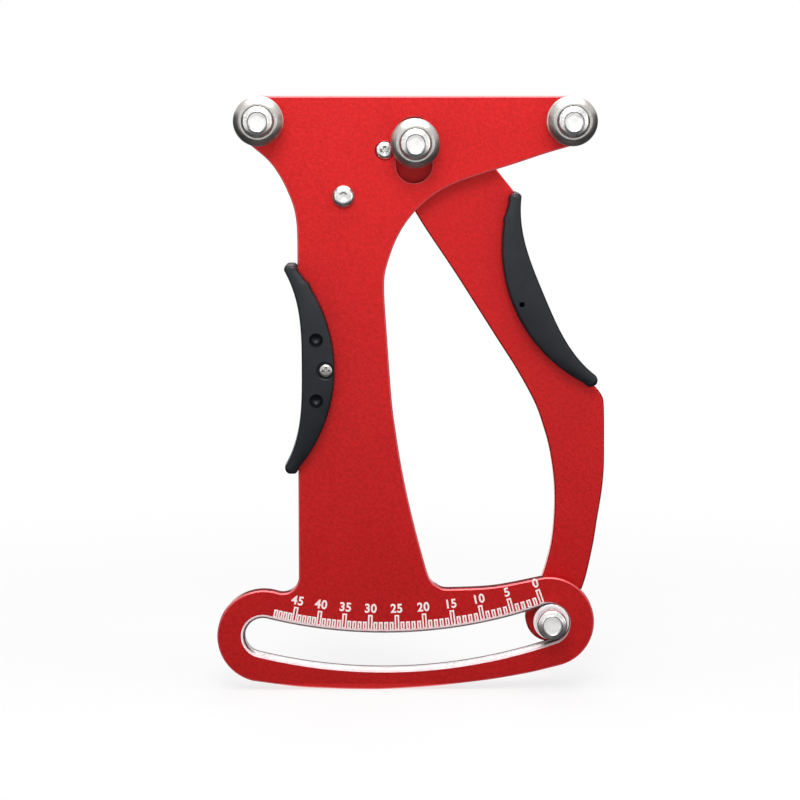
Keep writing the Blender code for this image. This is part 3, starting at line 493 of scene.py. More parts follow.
# %% Grip shape
GRIP_HALF_LENGTH = 0.0350
GRIP_TIP_RADIUS = 0.0021
GRIP_TIP_WIDTH = 0.0049
GRIP_CONVEX_REACH = 0.0150
GRIP_CONCAVE_REACH = 0.0038
GRIP_CONCAVE_SWEEP = 0.0057
GRIP_CONCAVE_POWER = 3.25
GRIP_WALL = 0.0022
GRIP_SCREW_OUT = 0.0120
GRIP_LUG_ALONG = -0.0283
GRIP_LUG_HALF = 0.0010
GRIP_LUG_REACH = 0.0004
GRIP_TIP_ALONG = GRIP_HALF_LENGTH - GRIP_TIP_RADIUS
grip_bulge = GRIP_CONVEX_REACH - (GRIP_CONCAVE_REACH - GRIP_CONCAVE_SWEEP + GRIP_TIP_WIDTH)
GRIP_CONVEX_RADIUS = (GRIP_TIP_ALONG ** 2 + grip_bulge ** 2) / (2 * grip_bulge)
LEFT_GRIP = (Vector((-0.0415, -0.0820)), 0.0, 1)
RIGHT_GRIP = (Vector((0.0466, -0.0560)), math.radians(22.9), -1)


def concave_edge(along):
    return GRIP_CONCAVE_REACH - GRIP_CONCAVE_SWEEP * abs(along / GRIP_TIP_ALONG) ** GRIP_CONCAVE_POWER


def convex_edge(along):
    fall = GRIP_CONVEX_RADIUS - math.sqrt(GRIP_CONVEX_RADIUS ** 2 - along ** 2)
    lug = GRIP_LUG_REACH * math.exp(-((along - GRIP_LUG_ALONG) / GRIP_LUG_HALF) ** 4)
    return GRIP_CONVEX_REACH - fall + lug


def grip_place(grip, along, across):
    """The place in the plane of the plates of a grip's own (along, across)."""
    middle, tilt, side = grip
    down = Vector((math.sin(tilt), -math.cos(tilt)))
    outwards = Vector((math.cos(tilt), math.sin(tilt))) * side
    return Vector((middle.x, POST_LINE_Z + middle.y)) + along * down + across * outwards


def cut_back(grip, edge_across, start, end, steps=40):
    """The plate's edge under a grip, on the side where the hollow edge bites into it."""
    line = []
    for index in range(steps + 1):
        along = start + (end - start) * index / steps
        line.append(grip_place(grip, along, max(edge_across, concave_edge(along) + GRIP_WALL)))
    return line


print("grip bulge radius", round(GRIP_CONVEX_RADIUS * 1000, 1), "mm")

# %% [markdown]
# ## A plate from its loops
#
# A Boolean could cut the slots, and a Bevel modifier could break the edges, but both leave uneven
# faces on a curved slot. Here every loop of the plate, outer or hole, becomes a stack of rings:
# inset on the front face, full size along the wall, inset again at the back. The two faces are
# then filled once. Each chamfer is as wide as it is deep, with a tiny rounding at both its edges.


# %% Plate builder
def signed_area(loop):
    return sum(a.x * b.y - b.x * a.y for a, b in zip(loop, loop[1:] + loop[:1])) / 2


def even(point):
    return 1.0


def inset(loop, distance, share=even):
    """The loop moved to its left by this distance times the point's share, along each bisector."""
    moved = []
    count = len(loop)
    for index, point in enumerate(loop):
        before = (point - loop[index - 1]).normalized()
        after = (loop[(index + 1) % count] - point).normalized()
        bisector = Vector((-before.y - after.y, before.x + after.x)).normalized()
        stretch = max(0.5, bisector.dot(Vector((-before.y, before.x))))
        moved.append(point + bisector * distance * share(point) / stretch)
    return moved


def without_repeats(loop):
    return [point for index, point in enumerate(loop) if (point - loop[index - 1]).length > 0.00002]


def edge_rings(front, back, front_chamfer, back_chamfer, soft=0.00006):
    """Four pairs of (inset, y) over the front chamfer, and four over the back one."""
    rings = []
    for face, chamfer, sense in ((front, front_chamfer, 1), (back, back_chamfer, -1)):
        edge = [
            (chamfer + soft, face),
            (chamfer - soft / 2, face + sense * soft / 2),
            (soft / 2, face + sense * (chamfer - soft / 2)),
            (0.0, face + sense * (chamfer + soft)),
        ]
        rings += edge if sense > 0 else edge[::-1]
    return rings


def finish_mesh(name, bm, sharp_deg=30):
    """A mesh from a bmesh, facing out, smooth where the angle is small."""
    bmesh.ops.recalc_face_normals(bm, faces=bm.faces)
    mesh = bpy.data.meshes.new(name)
    bm.to_mesh(mesh)
    bm.free()
    mesh.shade_smooth()
    mesh.set_sharp_from_angle(angle=math.radians(sharp_deg))
    return mesh


def bridge(bm, lower, upper, finish=0):
    """A closed band of faces between two rings of equally many corners."""
    for index in range(len(lower)):
        after = (index + 1) % len(lower)
        face = bm.faces.new((lower[index], lower[after], upper[after], upper[index]))
        face.material_index = finish


def plate_mesh(name, loops):
    """A plate from (loop, rings, finishes, share); the first loop is its outline, the others holes.

    The finishes are material numbers, one for each band between two rings; the last one goes on.
    The share narrows the chamfer from place to place.
    """
    bm = bmesh.new()
    caps = ([], [])
    for number, (loop, rings, finishes, *share) in enumerate(loops):
        loop = without_repeats(loop)
        if (signed_area(loop) > 0) != (number == 0):
            loop = loop[::-1]
        levels = []
        for distance, y in rings:
            levels.append([bm.verts.new(at(p, y)) for p in inset(loop, distance, *share)])
        for band, (lower, upper) in enumerate(zip(levels, levels[1:])):
            bridge(bm, lower, upper, finishes[min(band, len(finishes) - 1)])
        caps[0].append(levels[0])
        caps[1].append(levels[-1])
    for cap in caps:
        flat = [vert for level in cap for vert in level]
        outlines = [[Vector((vert.co.x, vert.co.z, 0)) for vert in level] for level in cap]
        for triangle in tessellate_polygon(outlines):
            corners = [flat[index] for index in triangle]
            if len(set(corners)) == 3:
                bm.faces.new(corners)
    return finish_mesh(name, bm, 16)


def add_piece(name, mesh, materials, body, nodes, location=(0, 0, 0)):
    """Links a piece, gives it its finishes, and lets it stand for its CAD nodes on its body."""
    piece = placed(name, mesh, location)
    if not mesh.materials:
        for made in materials:
            mesh.materials.append(made)
    if body:
        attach(piece, body)
    if nodes:
        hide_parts(*nodes)
    return piece


print("plate edges take", len(edge_rings(0, 0.005, 0.0008, 0.0004)), "rings")

# %% [markdown]
# ## The frame plate
#
# The red plate that carries everything: a long head for the two fixed posts, a stem that fills
# the palm side, and the curved scale with its two lobes at the foot.

# %% Frame plate
EDGE_CHAMFER = 0.0004
SLOT_CHAMFER = 0.0013
SLOT_LIP = 0.0004
POST_SLOT_CHAMFER = 0.00028
CORNER_RADIUS = 0.0081
STEM_LEFT_X = -0.0389
SLOT_WIDTH = 0.0128
bush_gap = SLOT_WIDTH / 2 - POINTER_BUSH_RADIUS - FIT
bush_play = math.sqrt(bush_gap ** 2 - (ARC_SLOT_RADIUS - POINTER_RADIUS) ** 2)
end_play_deg = math.degrees((bush_play - SLOT_LIP) / POINTER_RADIUS)
SLOT_RIGHT_DEG = POINTER_REST_DEG - end_play_deg
SLOT_LEFT_DEG = POINTER_REST_DEG - ARM_TRAVEL_DEG + end_play_deg
RIGHT_LOBE_RADIUS = 0.0153
LEFT_LOBE_RADIUS = 0.0157
LOBE_FILLET_RADIUS = 0.0054
SCALE_TOP_RISE = 0.0198
SCALE_BOTTOM_DROP = 0.0133


def frame_outline():
    right_lobe = polar(PIVOT, ARC_SLOT_RADIUS - 0.0004, POINTER_REST_DEG - 0.3)
    left_lobe_deg = SLOT_LEFT_DEG + math.degrees(SLOT_LIP / POINTER_RADIUS)
    left_lobe = polar(PIVOT, ARC_SLOT_RADIUS, left_lobe_deg)
    head = arc(LEFT_POST, CORNER_RADIUS, 238, 90, 36) + arc(RIGHT_POST, CORNER_RADIUS, 90, -68, 36)
    waist = below_posts(-0.0102, 0.0545)
    underside = swept(
        head[-1], waist,
        (0.128, -0.047), (0.277, -0.095), (0.408, -0.140), (0.491, -0.166), (0.557, -0.180),
        (0.605, -0.184), (0.658, -0.183), (0.714, -0.175), (0.783, -0.155), (0.848, -0.125),
        (0.907, -0.087), (0.962, -0.044),
    )
    scale_top = []
    for degrees, rise in ((7.7, 1.0), (9.6, 0.962), (11.9, 0.914), (14.2, 0.869), (16.5, 0.838)):
        scale_top.append(polar(PIVOT, ARC_SLOT_RADIUS - SCALE_TOP_RISE * rise, degrees))
    stem = swept(
        waist, scale_top[0],
        (0.057, -0.009), (0.158, -0.022), (0.364, -0.047), (0.468, -0.054), (0.572, -0.058),
        (0.679, -0.058), (0.786, -0.054), (0.894, -0.047), (0.948, -0.042), (0.970, -0.034),
        (0.985, -0.021),
    )
    right_end = arc(right_lobe, RIGHT_LOBE_RADIUS, 104, -78, 52)
    inner_side = smooth(underside[:-1] + stem + scale_top[1:] + right_end[:1])
    bottom = []
    for degrees, drop in (
        (16.0, 1.076), (14.0, 1.044), (11.5, 1.011), (8.5, 0.976), (5.0, 0.966), (0.0, 0.985),
        (-3.5, 1.008), (-5.6, 1.03), (-9.4, 1.10),
    ):
        bottom.append(polar(PIVOT, ARC_SLOT_RADIUS + SCALE_BOTTOM_DROP * drop, degrees))
    fillet_x = STEM_LEFT_X - LOBE_FILLET_RADIUS
    reach = LEFT_LOBE_RADIUS + LOBE_FILLET_RADIUS
    lean = math.acos((fillet_x - left_lobe.x) / reach)
    fillet = left_lobe + reach * Vector((math.cos(lean), math.sin(lean)))
    lean_deg = math.degrees(lean)
    left_end = arc(left_lobe, LEFT_LOBE_RADIUS, -104, lean_deg - 360, 54)
    foot = arc(fillet, LOBE_FILLET_RADIUS, lean_deg - 180, 0, 20)
    notch = cut_back(LEFT_GRIP, STEM_LEFT_X - LEFT_GRIP[0].x, 0.0340, -0.0340)
    shoulder = swept(
        below_posts(STEM_LEFT_X, 0.0400), head[0],
        (0.148, -0.068), (0.287, -0.111), (0.437, -0.128), (0.596, -0.128), (0.770, -0.098),
    )
    points = head[:-1] + inner_side[:-1] + right_end[:-1]
    points += smooth(right_end[-1:] + bottom + left_end[:1], 16)[:-1]
    return points + left_end + foot[1:] + notch + smooth(shoulder)[:-1]


def arc_slot():
    half = SLOT_WIDTH / 2 - SLOT_LIP
    right = polar(PIVOT, ARC_SLOT_RADIUS, SLOT_RIGHT_DEG)
    left = polar(PIVOT, ARC_SLOT_RADIUS, SLOT_LEFT_DEG)
    loop = arc(PIVOT, ARC_SLOT_RADIUS + half, SLOT_RIGHT_DEG - 90, SLOT_LEFT_DEG - 90, 60)[:-1]
    loop += arc(left, half, SLOT_LEFT_DEG - 90, SLOT_LEFT_DEG - 270, 32)[:-1]
    loop += arc(PIVOT, ARC_SLOT_RADIUS - half, SLOT_LEFT_DEG - 90, SLOT_RIGHT_DEG - 90, 60)[:-1]
    return loop + arc(right, half, SLOT_RIGHT_DEG + 90, SLOT_RIGHT_DEG - 90, 32)[:-1]


def narrowed(point):
    """The chamfer's share at a place: whole along the slot, and less round its right end."""
    degrees = math.degrees(math.atan2(point.x - PIVOT.x, PIVOT.y - point.y))
    beyond = max(0.0, min(1.0, (degrees - SLOT_RIGHT_DEG) / 1.6))
    return 1.0 - 0.60 * beyond


def post_slot():
    middle = below_posts(-0.0003, 0.0096)
    straight = Vector((0, 0.00485))
    return arc(middle + straight, 0.0060, 0, 180, 32) + arc(middle - straight, 0.0060, 180, 360, 32)


def round_hole(place, radius, steps=40):
    return arc(place, radius, 0, 360 - 360 / steps, steps - 1)


full_edge = edge_rings(FRAME_FRONT, FRAME_BACK, EDGE_CHAMFER, EDGE_CHAMFER)
slot_edge = edge_rings(FRAME_FRONT, FRAME_BACK, SLOT_CHAMFER, EDGE_CHAMFER)
slot_edge.insert(2, (SLOT_CHAMFER * 0.54, FRAME_FRONT + SLOT_CHAMFER * 0.46))
post_slot_edge = edge_rings(FRAME_FRONT, FRAME_BACK, POST_SLOT_CHAMFER, EDGE_CHAMFER)
fine_edge = edge_rings(FRAME_FRONT, FRAME_BACK, 0.0002, 0.0002, 0.00004)
countersink = PIVOT_HEAD_RADIUS - PIVOT_SHANK_RADIUS
sunk_edge = [
    (countersink, FRAME_FRONT),
    (0.0, FRAME_FRONT + countersink),
    (0.0, FRAME_BACK),
]
# The outline's and the post slot's front chamfers take the pinker rim finish, a painted highlight.
frame_loops = [
    (frame_outline(), full_edge, [4, 4, 4, 1]),
    (arc_slot(), slot_edge, [3, 3, 5, 2], narrowed),
    (post_slot(), post_slot_edge, [4, 4, 4, 1]),
    (round_hole(LEFT_POST, CAP_SHANK_RADIUS + FIT), fine_edge, [2]),
    (round_hole(RIGHT_POST, CAP_SHANK_RADIUS + FIT), fine_edge, [2]),
    (round_hole(ANCHOR, BUTTON_SHANK_RADIUS + FIT), fine_edge, [2]),
    (round_hole(grip_place(LEFT_GRIP, 0, GRIP_SCREW_OUT), GRIP_SHANK_RADIUS + FIT), fine_edge, [2]),
    (round_hole(PIVOT, PIVOT_SHANK_RADIUS + FIT), sunk_edge, [1]),
]
plate_finishes = [plate_red, edge_red, slot_wall, slot_cut_painted_sheen, rim_painted_sheen, slot_bevel]
frame_mesh = plate_mesh("front_plate", frame_loops)
add_piece("front_plate", frame_mesh, plate_finishes, "frame", ["frame_plate"])
print("frame plate faces:", len(frame_mesh.polygons))

# %% [markdown]
# ## The arm plate
#
# The arm lies behind the frame. It shows between the stem and the right grip, through the slot
# under the moving post, and all over at the back, where its tail holds the spring.


# %% Arm plate
def arm_outline():
    tail = arc(TAIL, 0.0045, 235, 70, 24)
    end = GRIP_HALF_LENGTH + 0.0007
    top = swept(
        tail[-1], grip_place(RIGHT_GRIP, -end, 0),
        (0.136, 0.033), (0.257, 0.103), (0.382, 0.177), (0.521, 0.207), (0.676, 0.171),
        (0.889, 0.058),
    )
    lobe = arc(POINTER, ARM_EYE_RADIUS, 10, -190, 40)
    side = swept(
        grip_place(RIGHT_GRIP, end, 0), lobe[0],
        (0.012, 0.014), (0.036, 0.034), (0.063, 0.044), (0.124, 0.052), (0.229, 0.062),
        (0.333, 0.071), (0.404, 0.073), (0.474, 0.071), (0.581, 0.063), (0.688, 0.056),
        (0.831, 0.038), (0.915, 0.018),
    )
    eye = arc(PIVOT, ARM_EYE_RADIUS, -60, -140, 12)
    inner = swept(
        lobe[-1], eye[0],
        (0.034, -0.027), (0.064, -0.053), (0.127, -0.092), (0.193, -0.119), (0.261, -0.138),
        (0.331, -0.148), (0.386, -0.149), (0.441, -0.145), (0.519, -0.128), (0.598, -0.105),
        (0.756, -0.059), (0.903, -0.014),
    )
    notch = cut_back(RIGHT_GRIP, 0.0, -0.0345, 0.0345)
    points = tail[:-1] + smooth(top) + notch + smooth(side)[:-1] + lobe[:-1]
    return points + smooth(inner)[:-1] + smooth(eye[::4] + tail[:1], 8)[:-1]


arm_edge = edge_rings(ARM_FRONT, ARM_BACK, EDGE_CHAMFER, EDGE_CHAMFER)
arm_fine = edge_rings(ARM_FRONT, ARM_BACK, 0.0002, 0.0002, 0.00004)
arm_loops = [(arm_outline(), arm_edge, [1])]
for place, radius in (
    (PIVOT, PIVOT_BUSH_RADIUS),
    (MOVING_POST, CAP_SHANK_RADIUS),
    (POINTER, CAP_SHANK_RADIUS),
    (TAIL, BUTTON_SHANK_RADIUS),
    (grip_place(RIGHT_GRIP, 0, GRIP_SCREW_OUT), GRIP_SHANK_RADIUS),
):
    arm_loops.append((round_hole(place, radius + FIT), arm_fine, [1]))
arm_mesh = plate_mesh("swinging_arm", arm_loops)
add_piece("swinging_arm", arm_mesh, [plate_red, edge_red], "arm", ["arm_plate"])
print("arm plate faces:", len(arm_mesh.polygons))

# %% [markdown]
# ## The laser-marked scale
#
# Each mark is a narrow upright box, drawn as an outline: every fifth is taller. The spacing
# closes up from right to left, because the spoke's bend isn't quite in step with the arm's angle.
# The boxes are real prisms, a few hundredths of a millimetre proud, so they export as shapes.

# %% Scale marks
MARK_FRONT = FRAME_FRONT - 0.00003
MARK_BACK = FRAME_FRONT + 0.00002
MARK_LINE = 0.00050
MARK_FOOT = 0.16060
SHORT_TOP, LONG_TOP = 0.15805, 0.15570
SHORT_WIDTH, LONG_WIDTH = 0.00136, 0.00154
LAST_MARK = 49


def mark_angle(number):
    """Degrees from straight down at which the pointer shows this number."""
    return 19.22 - 0.7585 * number + 0.00193 * number ** 2


def box_loop(degrees, foot, top, half_width):
    corners = []
    for radius, side in ((foot, -1), (foot, 1), (top, 1), (top, -1)):
        corners.append(polar(PIVOT, radius, degrees + side * math.degrees(half_width / radius)))
    return corners


def add_ring_prism(bm, outer, inner):
    """A frame-shaped prism between two loops of the same number of corners."""
    rings = []
    for loop in (outer, inner):
        for y in (MARK_FRONT, MARK_BACK):
            rings.append([bm.verts.new(at(p, y)) for p in loop])
    outer_front, outer_back, inner_front, inner_back = rings
    around = [outer_front, inner_front, inner_back, outer_back, outer_front]
    for first, second in zip(around, around[1:]):
        bridge(bm, first, second)


marks = bmesh.new()
for number in range(LAST_MARK + 1):
    tall = number % 5 == 0
    top = LONG_TOP if tall else SHORT_TOP
    half_width = (LONG_WIDTH if tall else SHORT_WIDTH) / 2
    angle = mark_angle(number)
    outer = box_loop(angle, MARK_FOOT, top, half_width)
    inner = box_loop(angle, MARK_FOOT - MARK_LINE / 2, top + MARK_LINE, half_width - MARK_LINE)
    add_ring_prism(marks, outer, inner)
add_piece("scale_marks", finish_mesh("scale_marks", marks), [laser_white], "frame", [])
print("marks:", LAST_MARK + 1)

# %% [markdown]
# ## The numbers
#
# The numbers stand over every fifth mark, each turned so that its foot points away from the
# pivot. Blender's own typeface, thickened a little, is close to the plain one on the tool.


# %% Scale numbers
def evaluated_mesh(owner):
    """A plain mesh of what an object shows, with its typing or its modifiers worked out."""
    bpy.context.view_layer.update()
    seen = owner.evaluated_get(bpy.context.evaluated_depsgraph_get())
    return bpy.data.meshes.new_from_object(seen)


NUMBER_HEIGHT = 0.0029
NUMBER_RADIUS = 0.1536
NUMBER_SQUEEZE = 0.95
TYPEFACE_CAPITALS = 0.70
numbers = bmesh.new()
for value in range(0, 50, 5):
    text = bpy.data.curves.new("number", "FONT")
    text.body = str(value)
    text.size = NUMBER_HEIGHT / TYPEFACE_CAPITALS
    text.offset = 0.00011
    text.extrude = (MARK_BACK - MARK_FRONT) / 2
    text.align_x = "CENTER"
    text.align_y = "CENTER"
    text.space_character = 1.08
    typed = placed("number", text)
    shape = evaluated_mesh(typed)
    angle = mark_angle(value)
    where = polar(PIVOT, NUMBER_RADIUS, angle)
    upright = Matrix.Rotation(math.radians(90), 4, "X") @ Matrix.Scale(NUMBER_SQUEEZE, 4, (1, 0, 0))
    turn = Matrix.Rotation(-math.radians(angle), 4, "Y")
    move = Matrix.Translation(at(where, (MARK_FRONT + MARK_BACK) / 2))
    shape.transform(move @ turn @ upright)
    numbers.from_mesh(shape)
    bpy.data.objects.remove(typed)
bmesh.ops.remove_doubles(numbers, verts=numbers.verts, dist=0.000001)
add_piece("scale_numbers", finish_mesh("scale_numbers", numbers), [laser_white], "frame", [])
print("numbers up to", value)

# %% [markdown]
# ## Turned pieces
#
# A lathe makes round pieces, and so does this helper: a profile of (radius, y) pairs is spun
# about the Y axis. Sharp corners never survive real turning, so each corner of the profile is
# first replaced by a small arc, which is what catches the light.


# %% Lathe helpers
def eased(profile, radius, closed=True, steps=3):
    """The profile with every corner cut by a small curve of about this radius."""
    count = len(profile)
    points = [Vector(point) for point in profile]
    soft = []
    for index, corner in enumerate(points):
        if not closed and index in (0, count - 1):
            soft.append(corner)
            continue
        before, after = points[index - 1], points[(index + 1) % count]
        reach = min(radius, (before - corner).length * 0.4, (after - corner).length * 0.4)
        start = corner + (before - corner).normalized() * reach
        end = corner + (after - corner).normalized() * reach
        for step in range(steps + 1):
            t = step / steps
            soft.append((1 - t) ** 2 * start + 2 * t * (1 - t) * corner + t ** 2 * end)
    return soft


def ring(radius_at, y, sides=72):
    """A loop of points round the Y axis; the radius may be a function of the angle."""
    points = []
    for index in range(sides):
        angle = 2 * math.pi * index / sides
        radius = radius_at(angle) if callable(radius_at) else radius_at
        points.append(Vector((radius * math.cos(angle), y, radius * math.sin(angle))))
    return points


def rings_of(*sections):
    """The rings of several (radius, y) sections."""
    return [ring(radius, y) for radius, y in sections]


def endless(name, loops):
    """A ring-shaped body through loops of equal length, the last one joined to the first."""
    bm = bmesh.new()
    rings = [[bm.verts.new(point) for point in loop] for loop in loops]
    for lower, upper in zip(rings, rings[1:] + rings[:1]):
        bridge(bm, lower, upper)
    return finish_mesh(name, bm)


def turned(name, profile, segments=96, ease=0.00008):
    """A ring turned about Y from a closed profile of (radius, y)."""
    return endless(name, [ring(radius, y, segments) for radius, y in eased(profile, ease)])


def stacked(name, loops, finishes=(), end_finish=0):
    """A closed body through loops of equal length, with a flat cap at each end.

    The last bands take these material numbers, and the last cap takes end_finish.
    """
    bm = bmesh.new()
    rings = [[bm.verts.new(point) for point in loop] for loop in loops]
    plain = len(rings) - 1 - len(finishes)
    for band, (lower, upper) in enumerate(zip(rings, rings[1:])):
        bridge(bm, lower, upper, finishes[band - plain] if band >= plain else 0)
    bm.faces.new(rings[0])
    bm.faces.new(rings[-1]).material_index = end_finish
    return finish_mesh(name, bm)


print("a corner becomes", len(eased([(0, 0), (1, 0), (1, 1)], 0.1)) // 3, "points")

# %% [markdown]
# ## The posts
#
# A spoke lies in each groove. The groove is a half-round waist between two flanges, and the front
# flange is a cone that carries the counterbore for a cap screw. The moving post has a longer
# shank, which reaches the arm through the slot in the frame.

# %% Posts
FLANGE_RADIUS = 0.0081
GROOVE_RADIUS = 0.0051
GROOVE_ROUND = 0.0028
HEAD_RADIUS = 0.0050
POST_FACE_Y = -0.0065
COUNTERBORE_Y = -0.0031
POST_BACK_Y = 0.0055
MOVING_SHANK_RADIUS = 0.0045
bore = CAP_SHANK_RADIUS + FIT


def post_front():
    groove = []
    for step in range(25):
        angle = math.radians(75 - 150 * step / 24)
        deep = GROOVE_ROUND * (1 - math.cos(angle))
        groove.append((GROOVE_RADIUS + deep, GROOVE_ROUND * math.sin(angle)))
    return [(FLANGE_RADIUS, 0.0032)] + groove + [
        (FLANGE_RADIUS, -0.0032),
        (FLANGE_RADIUS, -0.0042),
        (FLANGE_RADIUS - 0.0003, -0.0048),
        (FLANGE_RADIUS - 0.0010, -0.0056),
        (FLANGE_RADIUS - 0.0017, -0.0062),
        (HEAD_RADIUS + FIT + 0.0006, POST_FACE_Y),
        (HEAD_RADIUS + FIT, POST_FACE_Y),
        (HEAD_RADIUS + FIT, COUNTERBORE_Y),
        (bore, COUNTERBORE_Y),
    ]


flange_back = [(FLANGE_RADIUS - 0.0006, POST_BACK_Y), (FLANGE_RADIUS, POST_BACK_Y - 0.0006)]
fixed_post = turned("fixed_post", post_front() + [(bore, POST_BACK_Y)] + flange_back)
shank_end = ARM_FRONT - FIT
shank_back = [(bore, shank_end), (MOVING_SHANK_RADIUS, shank_end), (MOVING_SHANK_RADIUS, POST_BACK_Y)]
moving_post = turned("sliding_post", post_front() + shank_back + flange_back)
for name, mesh, place, body, node in (
    ("left_post", fixed_post, LEFT_POST, "frame", "fixed_post_left"),
    ("right_post", fixed_post, RIGHT_POST, "frame", "fixed_post_right"),
    ("sliding_post", moving_post, MOVING_POST, "arm", "moving_post"),
):
    add_piece(name, mesh, [post_steel], body, [node], at(place))
print("posts of", len(fixed_post.polygons), "and", len(moving_post.polygons), "faces")

# %% [markdown]
# ## The cap screws
#
# Three M6 screws hold the posts and a fourth is the pointer. A loft goes from the threaded tip up
# the shank, over the head and down into the hexagon socket. The thread is a real spiral: the
# radius of each ring rises and falls with its turn about the axis. The head is crowned, so its
# upper half mirrors the light and its lower half the dark table card. The last bands of the loft
# are a broken edge round the socket's mouth in a darker steel, which is painted shade, and a pale
# satin inside the socket, which is painted light.


# %% Screw shapes
def hexagon(across_flats):
    def radius_at(angle):
        from_flat = (angle + math.pi / 6) % (math.pi / 3) - math.pi / 6
        return min(across_flats / 2 / math.cos(from_flat), across_flats * 0.5735)
    return radius_at


def cross(arm, half_width):
    """The outline of a cross recess, as the larger of two crossed bars."""
    def radius_at(angle):
        cosine = max(abs(math.cos(angle)), 1e-9)
        sine = max(abs(math.sin(angle)), 1e-9)
        return max(min(arm / cosine, half_width / sine), min(half_width / cosine, arm / sine))
    return radius_at


def thread(radius, start, end, pitch, depth):
    """Rings of a threaded shank from start to end, a third of a pitch apart or less."""
    steps = max(2, round(abs(end - start) / pitch * 6))
    rings = []
    for step in range(steps + 1):
        y = start + (end - start) * step / steps

        def radius_at(angle, y=y):
            phase = (y / pitch + angle / (2 * math.pi)) % 1
            return radius - depth * abs(2 * phase - 1)
        rings.append(ring(radius_at, y))
    return rings


HEAD_TOP_Y = -0.0060
HEAD_CROWN = (
    (0.00500, 0.001288), (0.00500, 0.00120), (0.00497, 0.00098), (0.00488, 0.00078),
    (0.00473, 0.00061), (0.00452, 0.00048), (0.00425, 0.00038), (0.00395, 0.00029),
    (0.00362, 0.00018), (0.00345, 0.00011), (0.00336, 0.00003), (0.00330, 0.0),
)
KEY_SOCKET = (
    (0.00291, 0.00040),
    (hexagon(0.00508), 0.00050),
    (hexagon(0.0050), 0.00058),
    (hexagon(0.0050), 0.0015),
)


def cap_screw(name, length, threaded=0.0030):
    """A socket cap screw along +Y, its head's bearing face at y = 0."""
    shank = CAP_SHANK_RADIUS
    loops = rings_of((shank * 0.74, length))
    loops += thread(shank, length - 0.0004, length - threaded, 0.0010, 0.00032)
    loops += rings_of(
        (shank, length - threaded - 0.0002),
        (shank, 0.0002),
        (shank, 0.0),
        (HEAD_RADIUS - 0.0001, 0.0),
        (HEAD_RADIUS, -0.0001),
    )
    loops += rings_of(*((radius, HEAD_TOP_Y + drop) for radius, drop in HEAD_CROWN + KEY_SOCKET))
    return stacked(name, loops, [1, 2, 2, 2], 2)


SCREW_END_INSET = 0.0003
arm_screw_end = ARM_BACK - SCREW_END_INSET
post_seat = COUNTERBORE_Y - FIT
fixed_screw = cap_screw("post_screw", FRAME_BACK - SCREW_END_INSET - post_seat)
long_screw = cap_screw("long_screw", arm_screw_end - post_seat, 0.0040)
POINTER_BUSH_FRONT = FRAME_FRONT - 0.0005
WASHER_BACK = POINTER_BUSH_FRONT - FIT
WASHER_FRONT = WASHER_BACK - 0.0008
pointer_seat = WASHER_FRONT - FIT
pointer_mesh = cap_screw("index_screw", arm_screw_end - pointer_seat, 0.0040)
for name, mesh, place, seat, body, node in (
    ("left_post_bolt", fixed_screw, LEFT_POST, post_seat, "frame", "fixed_post_left_screw"),
    ("right_post_bolt", fixed_screw, RIGHT_POST, post_seat, "frame", "fixed_post_right_screw"),
    ("sliding_post_bolt", long_screw, MOVING_POST, post_seat, "arm", "moving_post_screw"),
    ("index_bolt", pointer_mesh, POINTER, pointer_seat, "arm", "pointer_screw"),
):
    # The socket's mouth band in darker steel is painted shade; the pale satin on its walls and floor is
    # painted light.
    finishes = [screw_steel, dark_steel, socket_painted_light]
    add_piece(name, mesh, finishes, body, [node], at(place, seat))
print("cap screw faces:", len(fixed_screw.polygons))

# %% [markdown]
# ## The pointer's bush and washer
#
# The pointer screw runs in the slot on a steel bush, and a thin washer spreads its head. Both are
# turned rings.

# %% Bush and washer
bush = turned("index_bush", [
    (bore, POINTER_BUSH_FRONT),
    (POINTER_BUSH_RADIUS - 0.0003, POINTER_BUSH_FRONT),
    (POINTER_BUSH_RADIUS, POINTER_BUSH_FRONT + 0.0003),
    (POINTER_BUSH_RADIUS, shank_end),
    (bore, shank_end),
])
washer = turned("index_washer", [
    (bore, WASHER_BACK), (bore, WASHER_FRONT), (0.0056, WASHER_FRONT),
    (0.0060, WASHER_FRONT + 0.0003), (0.0060, WASHER_BACK),
])
for mesh, finish, node in (
    (bush, post_steel, "pointer_bush"),
    (washer, washer_satin, "pointer_washer"),
):
    add_piece(mesh.name, mesh, [finish], "arm", [node], at(POINTER))
print("bush reaches", round((shank_end - POINTER_BUSH_FRONT) * 1000, 1), "mm")

# %% [markdown]
# ## The small screws
#
# A button screw with a hexagon socket holds the spring's pillar, a countersunk one with a cross
# recess is the arm's pivot, and a pan head with a cross recess joins each grip's halves.

# %% Button and pivot screws
BUTTON_LENGTH = 0.0095
button = stacked("button_screw", rings_of((0.0016, BUTTON_LENGTH)) + thread(
    BUTTON_SHANK_RADIUS, BUTTON_LENGTH - 0.0003, BUTTON_LENGTH - 0.0030, 0.0007, 0.00022,
) + rings_of(
    (BUTTON_SHANK_RADIUS, BUTTON_LENGTH - 0.0032),
    (BUTTON_SHANK_RADIUS, 0.0),
    (0.0038, 0.0),
    (0.0039, -0.0001),
    (0.0039, -0.00034),
    (0.00384, -0.0007),
    (0.0036, -0.00124),
    (0.0031, -0.00178),
    (0.0025, -0.00209),
    (0.0019, -0.00220),
    (0.00155, -0.00220),
    (hexagon(0.00256), -0.00210),
    (hexagon(0.0025), -0.00200),
    (hexagon(0.0025), -0.00080),
    (0.0011, -0.00072),
))
seated = at(ANCHOR, FRAME_FRONT - FIT)
add_piece(
    "spring_button", button, [screw_steel], "frame", ["spring_anchor_screw"], seated,
)
PIVOT_WASHER_THICKNESS = 0.0008
REAR_WASHER_FRONT = ARM_BACK + FIT + FIT
REAR_WASHER_BACK = REAR_WASHER_FRONT + PIVOT_WASHER_THICKNESS
NUT_START = REAR_WASHER_BACK + FIT
NUT_END = NUT_START + 0.0030
pivot_end = NUT_END + 0.0008
